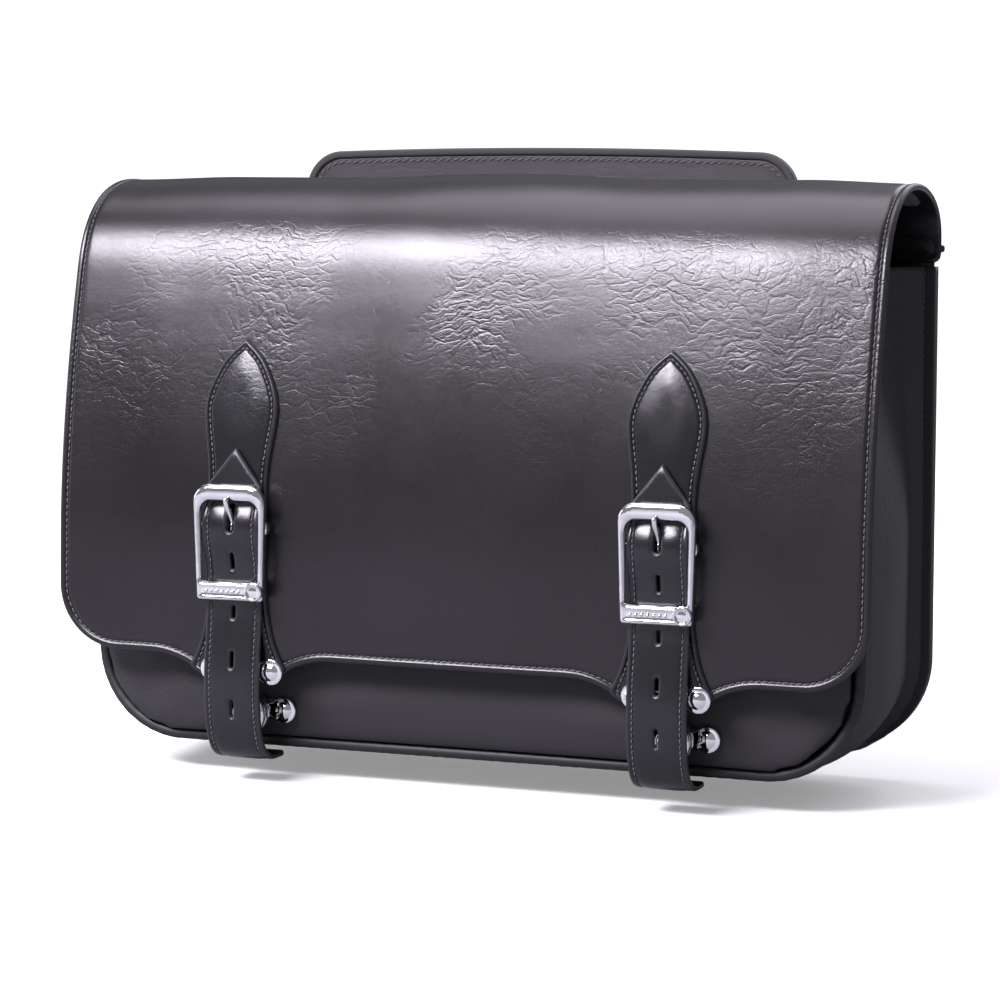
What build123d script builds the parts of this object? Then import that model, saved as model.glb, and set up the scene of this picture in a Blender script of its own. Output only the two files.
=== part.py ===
from build123d import *
import math
import os

# Motorcycle saddlebag, in millimetres. The origin is the centre of the four mounting bolts on the
# rear face. +Z is up, the bag's front faces -Y and +X is to the right of someone facing it.
# Sketches in the front view use (across, height) and sketches in the side view use
# (forward, height). Height is measured from the underside, forward from the rear mounting face.

os.makedirs("parts", exist_ok=True)

# ---------------------------------------------------------------- driving dimensions
MOUNT_HEIGHT = 200.0
MOUNT_SPACING_X = 200.0
MOUNT_SPACING_Z = 60.0
BOLT_HOLE_RADIUS = 3.3
EYELET_RADIUS = 4.5
EYELET_FLANGE_RADIUS = 8.0
EYELET_FLANGE = 1.0

LEATHER = 2.5
THIN_LEATHER = 2.2
LINING = 0.8
GAP = 0.2

YOKE_HALF_WIDTH = 133.5
YOKE_BOTTOM = 150.0
YOKE_TOP = 297.0
YOKE_RISE = 2.0
YOKE_THICKNESS = 5.9
YOKE_PLATE = 2.5
YOKE_CORNER = 20.0
YOKE_EDGE = 1.2
YOKE_HEM = 4.0
SLEEVE_HALF_WIDTH = YOKE_HALF_WIDTH - 2 * YOKE_HEM

BACK_FORWARD = 15.0
BACK_HALF_WIDTH = 207.0
BACK_TOP = 254.0
BACK_CORNER = 46.0
BOARD = 3.0

BODY_HALF_WIDTH = 198.0
BODY_BOTTOM = 1.5
BODY_TOP = 240.0
BODY_CORNER = 45.0
FRONT_FORWARD = 121.0
FRONT_LEAN = 5.0
PIPING_RADIUS = 3.0
PANEL_DEPTH = 9.0
PANEL_ROLL = 7.5
PANEL_TOP = 234.0

FLAP_HALF_WIDTH = 210.0
FLAP_LEATHER = 3.0
FLAP_REAR = 15.0
FLAP_REAR_BOTTOM = 240.0
FLAP_REAR_TOP = 255.0
FLAP_CREST = 279.5
FLAP_CREST_FORWARD = 64.0
FLAP_FRONT = 142.5
FLAP_STRAIGHT_TOP = 92.0
CURVE_STEPS = 24
FLAP_EDGE = 43.0
FLAP_CORNER = 32.0
TAB_HALF_WIDTH = 20.0
TAB_BOTTOM = 33.0
TAB_SWEEP = 29.0
TAB_RADIUS = 47.0
TAB_FILLET = 4.0
HINGE_FORWARD = 29.0
HINGE_CUT = 0.3

STRAP_X = 110.0
STRAP_WIDTH = 30.0
STRAP = 3.0
STRAP_TIP = 152.0
STRAP_POINT = 19.5
STRAP_FORWARD = 149.6
TAIL_FORWARD = 153.4
LOOP_LOW = -3.2
STRAP_SPLIT = 74.0
SLIT_LENGTH = 8.5
SLIT_WIDTH = 1.5
SLIT_PITCH = 24.5
FIRST_SLIT = 96.5
PRONG_SLOT_BOTTOM = 111.0
PRONG_SLOT_TOP = 125.0

PATCH = 2.2
PATCH_TOP = 204.0
PATCH_HALF_WIDTH = 20.0
PATCH_WIDEST = 171.0
PATCH_WAIST = 16.0
PATCH_WAIST_HEIGHT = 128.0
PATCH_FLARE = 26.0
PATCH_FLARE_HEIGHT = 39.5

BUCKLE_TOP = 134.3
BUCKLE_BOTTOM = 76.8
BUCKLE_HALF_WIDTH = 20.0
BUCKLE_SIDE = 4.0
TOP_BAR_HEIGHT = 8.4
KEEPER_HEIGHT = 9.4
HEEL_HEIGHT = 113.0
HEEL_RADIUS = 1.6
RUNNING_CLEARANCE = 0.05
PRONG_RADIUS = 1.55

CLASP_HEIGHT = 20.0
CLASP_EAR_RADIUS = 6.5
CLASP_EAR_X = 15.7
CLASP_SHIFT = 3.0
HASP_HEIGHT = 41.5
PLATE = 1.5
DISC_RADIUS = 11.25
POST_RADIUS = 7.5
BUTTON_RADIUS = 4.5
BUTTON_STEM = 2.5
RIVET_RADIUS = 4.4
RIVET_SHANK = 1.6
RIVET_DOME = 1.8

RIM_TURN = 1.2
RIM_INSET = 6.0
BIND_DEPTH = 9.0
BIND_END = 14.0
LINING_INSET = 4.0
LINING_BOTTOM = 62.0
BOARD_TOP = 205.0
FLAP_BOARD = 1.5
WELT_HEIGHT = 248.5

# ---------------------------------------------------------------- reference planes
FRONT = Plane(origin=(0, 0, -MOUNT_HEIGHT), x_dir=(1, 0, 0), z_dir=(0, -1, 0))
SIDE = Plane(origin=(0, 0, -MOUNT_HEIGHT), x_dir=(0, -1, 0), z_dir=(-1, 0, 0))
SEAM = Plane(
    origin=(0, -FRONT_FORWARD, -MOUNT_HEIGHT),
    x_dir=(1, 0, 0),
    z_dir=(0, -math.cos(math.radians(FRONT_LEAN)), math.sin(math.radians(FRONT_LEAN))),
)
LEFT_X = -STRAP_X
RIGHT_X = STRAP_X
SIDES = (("left", LEFT_X), ("right", RIGHT_X))

# The flap's leather lies outside this curve: over the mouth, then down the front.
with BuildLine() as flap_inner:
    Bezier((FLAP_REAR, FLAP_REAR_TOP), (FLAP_REAR, 269.0), (36.0, FLAP_CREST),
           (FLAP_CREST_FORWARD, FLAP_CREST))
    Bezier((FLAP_CREST_FORWARD, FLAP_CREST), (90.0, FLAP_CREST), (111.0, 268.0), (119.0, 240.0))
    Bezier((119.0, 240.0), (127.0, 212.0), (FLAP_FRONT, 150.0), (FLAP_FRONT, FLAP_STRAIGHT_TOP))


def save(piece, name):
    """Label a finished piece and write its STEP file."""
    piece.part.label = name
    export_step(piece.part, f"parts/{name}.step")


def side_plane(across):
    """Side view plane at a distance across the bag."""
    return Plane(origin=(across, 0, -MOUNT_HEIGHT), x_dir=SIDE.x_dir, z_dir=SIDE.z_dir)


def pocket(half_width, bottom, top, radius):
    """Front outline of the bag: square at the top, rounded at the two lower corners."""
    with BuildSketch() as shape:
        with Locations((0, (bottom + top) / 2)):
            Rectangle(2 * half_width, top - bottom)
        fillet(shape.vertices().group_by(Axis.Y)[0], radius)
    return shape.sketch


def yoke_outline(inset):
    """Front outline of the raised mounting yoke, with its top edge slightly arched."""
    half = YOKE_HALF_WIDTH - inset
    bottom = YOKE_BOTTOM + inset
    shoulder = YOKE_TOP - YOKE_RISE - inset
    with BuildSketch() as shape:
        with BuildLine():
            Polyline((-half, shoulder), (-half, bottom), (half, bottom), (half, shoulder))
            ThreePointArc((half, shoulder), (0, YOKE_TOP - inset), (-half, shoulder))
        make_face()
        fillet(shape.vertices(), YOKE_CORNER - inset)
    return shape.sketch


def yoke_plate_outline(inset):
    """Front outline of the stiffening plate inside the yoke."""
    half = SLEEVE_HALF_WIDTH - inset
    bottom = YOKE_BOTTOM + YOKE_HEM
    top = YOKE_TOP - YOKE_RISE - 2 * YOKE_HEM - inset
    with BuildSketch() as shape:
        with Locations((0, (bottom + top) / 2)):
            Rectangle(2 * half, top - bottom)
        fillet(shape.vertices(), YOKE_CORNER - YOKE_HEM)
    return shape.sketch


def flap_edges(distance):
    """The flap's curve moved outwards by a distance, with its straight rear and front ends."""
    curve = flap_inner.wire()
    steps = [step / CURVE_STEPS for step in range(CURVE_STEPS + 1)]
    points = [curve @ step + (curve % step).rotate(Axis.Z, 90) * distance for step in steps]
    with BuildLine() as moved:
        Line((points[0].X, FLAP_REAR_BOTTOM), points[0])
        Spline(*points)
        Line(points[-1], (points[-1].X, TAB_BOTTOM))
    return moved


def flap_layer(near, far):
    """Side section of one layer of the flap, between two distances from its inner curve."""
    near_edges = flap_edges(near)
    far_edges = flap_edges(far)
    with BuildSketch() as shape:
        with BuildLine():
            add(near_edges.line)
            add(far_edges.line)
            Line(near_edges.wire() @ 0, far_edges.wire() @ 0)
            Line(near_edges.wire() @ 1, far_edges.wire() @ 1)
        make_face()
    return shape.sketch


def tab_outline():
    """Front outline of one tab: its sides sweep out in an arc to the flap's lower edge."""
    flare = TAB_HALF_WIDTH + TAB_SWEEP
    middle = TAB_HALF_WIDTH + TAB_SWEEP / 2
    arc_middle = (middle, FLAP_EDGE - TAB_RADIUS + math.sqrt(TAB_RADIUS**2 - (flare - middle) ** 2))
    with BuildSketch() as shape:
        with BuildLine():
            Line((0, TAB_BOTTOM), (TAB_HALF_WIDTH, TAB_BOTTOM))
            ThreePointArc((TAB_HALF_WIDTH, TAB_BOTTOM), arc_middle, (flare, FLAP_EDGE))
            Polyline((flare, FLAP_EDGE), (flare, FLAP_EDGE + 1), (0, FLAP_EDGE + 1), (0, TAB_BOTTOM))
        make_face()
        mirror(about=Plane.YZ)
        fillet(shape.vertices().group_by(Axis.Y)[0], TAB_FILLET)
    return shape.sketch


def flap_outline():
    """Front outline of the flap, with a tab under each strap and round lower corners."""
    with BuildSketch() as shape:
        with Locations((0, (FLAP_EDGE + YOKE_TOP) / 2)):
            Rectangle(2 * FLAP_HALF_WIDTH, YOKE_TOP - FLAP_EDGE)
        fillet(shape.vertices().group_by(Axis.Y)[0], FLAP_CORNER)
        with Locations((LEFT_X, 0), (RIGHT_X, 0)):
            add(tab_outline())
    return shape.sketch


def cut_mount_holes(radius, start=0.0, depth=60.0):
    """Cut the four mounting holes through the part being built, from a forward distance."""
    with BuildSketch(FRONT.offset(start)) as holes:
        with Locations((0, MOUNT_HEIGHT)):
            with GridLocations(MOUNT_SPACING_X, MOUNT_SPACING_Z, 2, 2):
                Circle(radius)
    extrude(holes.sketch, amount=depth, mode=Mode.SUBTRACT)


def rivet_places(height):
    """Centres of the rivets in both ears of both clasps, in the front view."""
    return [(strap_x + CLASP_SHIFT + ear, height)
            for _, strap_x in SIDES for ear in (-CLASP_EAR_X, CLASP_EAR_X)]


# ---------------------------------------------------------------- mounting yoke and back
with BuildPart() as yoke_cover:
    with BuildSketch(FRONT):
        add(yoke_outline(YOKE_EDGE))
    extrude(amount=YOKE_THICKNESS)
    # the sleeve that holds the stiffening plate is open along its lower edge
    with BuildSketch(FRONT.offset((YOKE_THICKNESS - YOKE_PLATE) / 2)):
        add(yoke_plate_outline(0))
        with Locations((0, YOKE_BOTTOM)):
            Rectangle(2 * SLEEVE_HALF_WIDTH, 4 * YOKE_HEM)
    extrude(amount=YOKE_PLATE, mode=Mode.SUBTRACT)
    cut_mount_holes(EYELET_RADIUS)
    cut_mount_holes(EYELET_FLANGE_RADIUS, 0, EYELET_FLANGE)
save(yoke_cover, "yoke_cover")

with BuildPart() as yoke_plate:
    with BuildSketch(FRONT.offset((YOKE_THICKNESS - YOKE_PLATE) / 2 + GAP / 2)):
        add(yoke_plate_outline(GAP))
    extrude(amount=YOKE_PLATE - GAP)
    cut_mount_holes(EYELET_RADIUS)
save(yoke_plate, "yoke_plate")

with BuildPart() as yoke_binding:
    with BuildSketch(FRONT):
        add(yoke_outline(0))
        add(yoke_outline(YOKE_EDGE), mode=Mode.SUBTRACT)
    extrude(amount=YOKE_THICKNESS)
    with BuildSketch(FRONT.offset(YOKE_THICKNESS)):
        add(yoke_outline(0))
        add(yoke_outline(YOKE_HEM), mode=Mode.SUBTRACT)
    extrude(amount=1)
save(yoke_binding, "yoke_binding")

with BuildPart() as standoff_pad:
    with BuildSketch(FRONT.offset(YOKE_THICKNESS)):
        with Locations((0, (YOKE_BOTTOM + FLAP_REAR_BOTTOM) / 2 + 2)):
            RectangleRounded(2 * YOKE_HALF_WIDTH - 20, FLAP_REAR_BOTTOM - YOKE_BOTTOM - 8, 12)
    extrude(amount=BACK_FORWARD - YOKE_THICKNESS)
    cut_mount_holes(EYELET_RADIUS)
save(standoff_pad, "standoff_pad")

with BuildPart() as back_panel:
    with BuildSketch(FRONT.offset(BACK_FORWARD)):
        add(pocket(BACK_HALF_WIDTH, 0, BACK_TOP, BACK_CORNER))
    extrude(amount=LEATHER)
    cut_mount_holes(EYELET_RADIUS)
save(back_panel, "back_panel")

BOARD_FORWARD = BACK_FORWARD + LEATHER
with BuildPart() as back_board:
    with BuildSketch(FRONT.offset(BOARD_FORWARD)):
        add(pocket(BODY_HALF_WIDTH - 6, BODY_BOTTOM + 6, BODY_TOP - 4, BODY_CORNER - 6))
    extrude(amount=BOARD)
    cut_mount_holes(EYELET_RADIUS)
save(back_board, "back_board")

with BuildPart() as gusset:
    # flange sewn to the back panel
    with BuildSketch(FRONT.offset(BOARD_FORWARD)):
        add(pocket(BACK_HALF_WIDTH, 0, BODY_TOP, BACK_CORNER))
        add(pocket(BODY_HALF_WIDTH - 1, BODY_BOTTOM + 1, BODY_TOP, BODY_CORNER - 1), mode=Mode.SUBTRACT)
    extrude(amount=THIN_LEATHER)
    # side and bottom wall, cut parallel to the front seam
    with BuildSketch(FRONT.offset(BOARD_FORWARD)):
        add(pocket(BODY_HALF_WIDTH, BODY_BOTTOM, BODY_TOP, BODY_CORNER))
        with Locations((0, THIN_LEATHER)):
            add(pocket(BODY_HALF_WIDTH - THIN_LEATHER, BODY_BOTTOM, BODY_TOP,
                       BODY_CORNER - THIN_LEATHER), mode=Mode.SUBTRACT)
    extrude(amount=FRONT_FORWARD)
    split(bisect_by=SEAM.offset(-PIPING_RADIUS), keep=Keep.BOTTOM)
save(gusset, "gusset")

with BuildPart() as back_binding:
    with BuildSketch(FRONT.offset(BACK_FORWARD - RIM_TURN)):
        add(pocket(BACK_HALF_WIDTH + RIM_TURN, -RIM_TURN, BACK_TOP - 14, BACK_CORNER + RIM_TURN))
        with Locations((0, RIM_INSET)):
            add(pocket(BACK_HALF_WIDTH - RIM_INSET, 0, BACK_TOP, BACK_CORNER - RIM_INSET),
                mode=Mode.SUBTRACT)
    extrude(amount=LEATHER + THIN_LEATHER + 2 * RIM_TURN)
    with BuildSketch(FRONT.offset(BACK_FORWARD)):
        add(pocket(BACK_HALF_WIDTH, 0, BACK_TOP, BACK_CORNER))
    extrude(amount=LEATHER + THIN_LEATHER, mode=Mode.SUBTRACT)
    # the turned front edge stops at the wall of the gusset
    with BuildSketch(FRONT.offset(BOARD_FORWARD)):
        add(pocket(BODY_HALF_WIDTH, BODY_BOTTOM, BACK_TOP, BODY_CORNER))
    extrude(amount=4 * THIN_LEATHER, mode=Mode.SUBTRACT)
save(back_binding, "back_binding")

# ---------------------------------------------------------------- body
with BuildPart() as front_piping:
    path_inset = 0.5
    with BuildLine(SEAM) as piping_path:
        half = BODY_HALF_WIDTH + path_inset
        low = BODY_BOTTOM - path_inset + PIPING_RADIUS / 2
        corner = BODY_CORNER
        Line((-half, PANEL_TOP), (-half, low + corner))
        RadiusArc((-half, low + corner), (-half + corner, low), -corner)
        Line((-half + corner, low), (half - corner, low))
        RadiusArc((half - corner, low), (half, low + corner), -corner)
        Line((half, low + corner), (half, PANEL_TOP))
    with BuildSketch(Plane(origin=piping_path.wire() @ 0, z_dir=piping_path.wire() % 0)):
        Circle(PIPING_RADIUS)
    sweep(path=piping_path.wire())
save(front_piping, "front_piping")

with BuildPart() as front_panel:
    with BuildSketch(SEAM.offset(PIPING_RADIUS)):
        add(pocket(BODY_HALF_WIDTH, BODY_BOTTOM, YOKE_TOP, BODY_CORNER))
    extrude(amount=PANEL_DEPTH)
    forward = Axis((0, 0, 0), SEAM.z_dir)
    fillet(front_panel.faces().sort_by(forward)[-1].edges(), PANEL_ROLL)
    offset(amount=-THIN_LEATHER, openings=front_panel.faces().sort_by(forward)[0])
    with BuildSketch(SEAM):
        with Locations((0, PANEL_TOP)):
            Rectangle(2 * FLAP_HALF_WIDTH, YOKE_TOP, align=(Align.CENTER, Align.MIN))
    extrude(amount=2 * PANEL_DEPTH, mode=Mode.SUBTRACT)
    with BuildSketch(FRONT.offset(FRONT_FORWARD)):
        with Locations(*rivet_places(CLASP_HEIGHT)):
            Circle(RIVET_SHANK)
    extrude(amount=2 * PANEL_DEPTH, mode=Mode.SUBTRACT)
save(front_panel, "front_panel")

with BuildPart() as mouth_binding:
    inside = PIPING_RADIUS + PANEL_DEPTH - THIN_LEATHER
    with BuildSketch(SEAM.offset(inside - RIM_TURN)):
        with Locations((0, PANEL_TOP + RIM_TURN)):
            Rectangle(2 * (BODY_HALF_WIDTH - BIND_END), BIND_DEPTH, align=(Align.CENTER, Align.MAX))
    extrude(amount=THIN_LEATHER + 2 * RIM_TURN)
    with BuildSketch(SEAM.offset(inside)):
        with Locations((0, PANEL_TOP)):
            Rectangle(2 * BODY_HALF_WIDTH, BIND_DEPTH, align=(Align.CENTER, Align.MAX))
    extrude(amount=THIN_LEATHER, mode=Mode.SUBTRACT)
save(mouth_binding, "mouth_binding")

with BuildPart() as bottom_board:
    with BuildSketch(FRONT.offset(BOARD_FORWARD + BOARD + GAP)):
        with Locations((0, BODY_BOTTOM + THIN_LEATHER + BOARD / 2 + GAP / 2)):
            Rectangle(2 * (BODY_HALF_WIDTH - BODY_CORNER), BOARD - GAP)
    extrude(amount=FRONT_FORWARD)
    split(bisect_by=SEAM.offset(-2 * PIPING_RADIUS), keep=Keep.BOTTOM)
save(bottom_board, "bottom_board")

with BuildPart() as lining:
    with BuildSketch(FRONT.offset(BOARD_FORWARD + BOARD)):
        add(pocket(BODY_HALF_WIDTH - LINING_INSET, BODY_BOTTOM + THIN_LEATHER + BOARD, BODY_TOP - 2,
                   BODY_CORNER - LINING_INSET))
    extrude(amount=FRONT_FORWARD)
    split(bisect_by=SEAM.offset(-PIPING_RADIUS - GAP), keep=Keep.BOTTOM)
    offset(amount=-LINING, openings=lining.faces().sort_by(Axis.Z)[-1])
    cut_mount_holes(EYELET_RADIUS, 0, MOUNT_HEIGHT / 4)
save(lining, "lining")

with BuildPart() as mount_eyelets:
    inner_end = BOARD_FORWARD + BOARD + LINING
    for start, radius, length in (
        (0, EYELET_FLANGE_RADIUS, EYELET_FLANGE),
        (0, EYELET_RADIUS, inner_end + EYELET_FLANGE),
        (inner_end, EYELET_FLANGE_RADIUS, EYELET_FLANGE),
    ):
        with BuildSketch(FRONT.offset(start)):
            with Locations((0, MOUNT_HEIGHT)):
                with GridLocations(MOUNT_SPACING_X, MOUNT_SPACING_Z, 2, 2):
                    Circle(radius)
        extrude(amount=length)
    cut_mount_holes(BOLT_HOLE_RADIUS)
save(mount_eyelets, "mount_eyelets")

# ---------------------------------------------------------------- flap
with BuildPart() as flap_rear:
    with BuildSketch(SIDE):
        add(flap_layer(0, FLAP_LEATHER))
    extrude(amount=FLAP_HALF_WIDTH, both=True)
    split(bisect_by=Plane.XZ.offset(HINGE_FORWARD - HINGE_CUT / 2), keep=Keep.BOTTOM)
save(flap_rear, "flap_rear")

with BuildPart() as flap_welt:
    welt_radius = (BACK_FORWARD - FLAP_LEATHER - YOKE_THICKNESS - GAP) / 2
    with BuildSketch(SIDE):
        with Locations((YOKE_THICKNESS + GAP / 2 + welt_radius, WELT_HEIGHT)):
            Circle(welt_radius)
    extrude(amount=FLAP_HALF_WIDTH, both=True)
    with BuildSketch(FRONT):
        with Locations((0, WELT_HEIGHT)):
            Rectangle(2 * YOKE_HALF_WIDTH, 4 * welt_radius)
    extrude(amount=YOKE_THICKNESS + 1 + GAP, mode=Mode.SUBTRACT)
save(flap_welt, "flap_welt")

with BuildPart() as flap_cover:
    with BuildSketch(SIDE):
        add(flap_layer(0, FLAP_LEATHER))
    extrude(amount=FLAP_HALF_WIDTH, both=True)
    with BuildSketch(FRONT):
        add(flap_outline())
    extrude(amount=FLAP_FRONT + 2 * FLAP_LEATHER, mode=Mode.INTERSECT)
    split(bisect_by=Plane.XZ.offset(HINGE_FORWARD + HINGE_CUT / 2), keep=Keep.TOP)
    with BuildSketch(FRONT.offset(FLAP_FRONT - FLAP_LEATHER)):
        with Locations(*rivet_places(HASP_HEIGHT)):
            Circle(RIVET_SHANK)
    extrude(amount=3 * FLAP_LEATHER, mode=Mode.SUBTRACT)
save(flap_cover, "flap_cover")


def flap_backing(near, far, lowest, highest, half_width):
    """A layer inside the flap, kept between two heights and in front of the hinge."""
    with BuildPart() as layer:
        with BuildSketch(SIDE):
            add(flap_layer(near, far))
        extrude(amount=half_width, both=True)
        with BuildSketch(FRONT.offset(HINGE_FORWARD + HINGE_CUT / 2)):
            with Locations((0, (lowest + highest) / 2)):
                Rectangle(2 * half_width, highest - lowest)
        extrude(amount=FLAP_FRONT, mode=Mode.INTERSECT)
    return layer


flap_board = flap_backing(-FLAP_BOARD, 0, LINING_BOTTOM, BOARD_TOP, FLAP_HALF_WIDTH - 14)
save(flap_board, "flap_board")

flap_padding = flap_backing(-FLAP_BOARD, 0, BOARD_TOP + 1, YOKE_TOP, FLAP_HALF_WIDTH - 8)
save(flap_padding, "flap_padding")

flap_lining = flap_backing(-FLAP_BOARD - LINING, -FLAP_BOARD, LINING_BOTTOM - 4, YOKE_TOP,
                           FLAP_HALF_WIDTH - 6)
save(flap_lining, "flap_lining")

# ------------------------------------------------- straps, buckles and clasps
HEEL_FORWARD = FLAP_FRONT + FLAP_LEATHER + 3.4
RING_RADIUS = HEEL_RADIUS + 1.3
FRAME_BACK = 151.7
FRAME_FRONT = 156.7
FRAME_ROUNDING = 1.4
KEEPER_TOP = BUCKLE_BOTTOM + KEEPER_HEIGHT
WINDOW_TOP = BUCKLE_TOP - TOP_BAR_HEIGHT
DISC_BACK = 138.5
DISC_FRONT = 148.0
POCKET_FLOOR = 144.4
POCKET_RADIUS = 9.7
BUTTON_RECESS = 1.8
BASE_BACK = 132.2
POST_END = 141.6
HASP_BACK = FLAP_FRONT + FLAP_LEATHER + PATCH + GAP
BEAD_RADIUS = 1.1
BEAD_PITCH = 2.9
BEADS = 7
BOSS_RADIUS = 5.0

# centre line of the strap in the side view, from the pointed tip to the split under the keeper
with BuildLine() as upper_strap_line:
    Bezier((145.4, STRAP_TIP), (147.0, 142.0), (148.3, 134.0), (149.0, 127.5))
    Bezier((149.0, 127.5), (149.7, 121.5), (153.5, 119.5), (153.5, HEEL_HEIGHT))
    Bezier((153.5, HEEL_HEIGHT), (153.5, 104.0), (STRAP_FORWARD, 98.0), (STRAP_FORWARD, 88.0))
    Line((STRAP_FORWARD, 88.0), (STRAP_FORWARD, STRAP_SPLIT))
# and on from there, over the clasp and round under the front of the bag
with BuildLine() as tail_strap_line:
    Bezier((STRAP_FORWARD, STRAP_SPLIT - GAP), (STRAP_FORWARD, 60.0),
           (TAIL_FORWARD, 50.0), (TAIL_FORWARD, 34.0))
    Bezier((TAIL_FORWARD, 34.0), (TAIL_FORWARD, 6.0), (147.0, LOOP_LOW), (132.0, LOOP_LOW))
    Line((132.0, LOOP_LOW), (124.0, LOOP_LOW))


def patch_outline():
    """Front outline of the stitched patch: pointed at the top, waisted, wide over the tab."""
    flare = (PATCH_FLARE, PATCH_FLARE_HEIGHT)
    turn = (PATCH_FLARE - 1.6, PATCH_FLARE_HEIGHT - 2.3)
    foot = (TAB_HALF_WIDTH - 1.5, TAB_BOTTOM + 1)
    with BuildSketch() as shape:
        with BuildLine():
            Spline((0, PATCH_TOP), (PATCH_HALF_WIDTH, PATCH_WIDEST), (PATCH_WAIST, PATCH_WAIST_HEIGHT),
                   (PATCH_WAIST, BUCKLE_BOTTOM), flare, tangents=((0.8, -0.6), (0.2, -1)))
            ThreePointArc(flare, (PATCH_FLARE - 0.3, PATCH_FLARE_HEIGHT - 1.4), turn)
            Polyline(turn, foot, (0, TAB_BOTTOM + 1), (0, PATCH_TOP))
        make_face()
        mirror(about=Plane.YZ)
    return shape.sketch


def clasp_plate(height, waist):
    """Front outline of a clasp plate with a round ear at each end."""
    with BuildSketch() as shape:
        with Locations((-CLASP_EAR_X, height), (CLASP_EAR_X, height)):
            Circle(CLASP_EAR_RADIUS)
        with Locations((0, height)):
            Rectangle(2 * CLASP_EAR_X, waist)
    return shape.sketch


def domed_rivets(points, seat, grip):
    """Round-headed rivets seen from the front: head on the seat, shank and clinched washer behind."""
    with BuildPart() as rivets:
        with BuildSketch(FRONT.offset(seat)):
            with Locations(*points):
                Circle(RIVET_RADIUS)
        extrude(amount=RIVET_DOME)
        fillet(rivets.faces().sort_by(Axis.Y)[:len(points)].edges(), RIVET_DOME * 0.9)
        with BuildSketch(FRONT.offset(seat - grip)):
            with Locations(*points):
                Circle(RIVET_SHANK)
        extrude(amount=grip)
        with BuildSketch(FRONT.offset(seat - grip - 1)):
            with Locations(*points):
                Circle(2 * RIVET_SHANK)
        extrude(amount=1)
    return rivets


hasp_rivets = domed_rivets(rivet_places(HASP_HEIGHT), HASP_BACK + PLATE,
                           HASP_BACK + PLATE - FLAP_FRONT + GAP)
save(hasp_rivets, "hasp_rivets")

base_rivets = domed_rivets(rivet_places(CLASP_HEIGHT), BASE_BACK + PLATE, 5.1)
save(base_rivets, "clasp_base_rivets")

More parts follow.
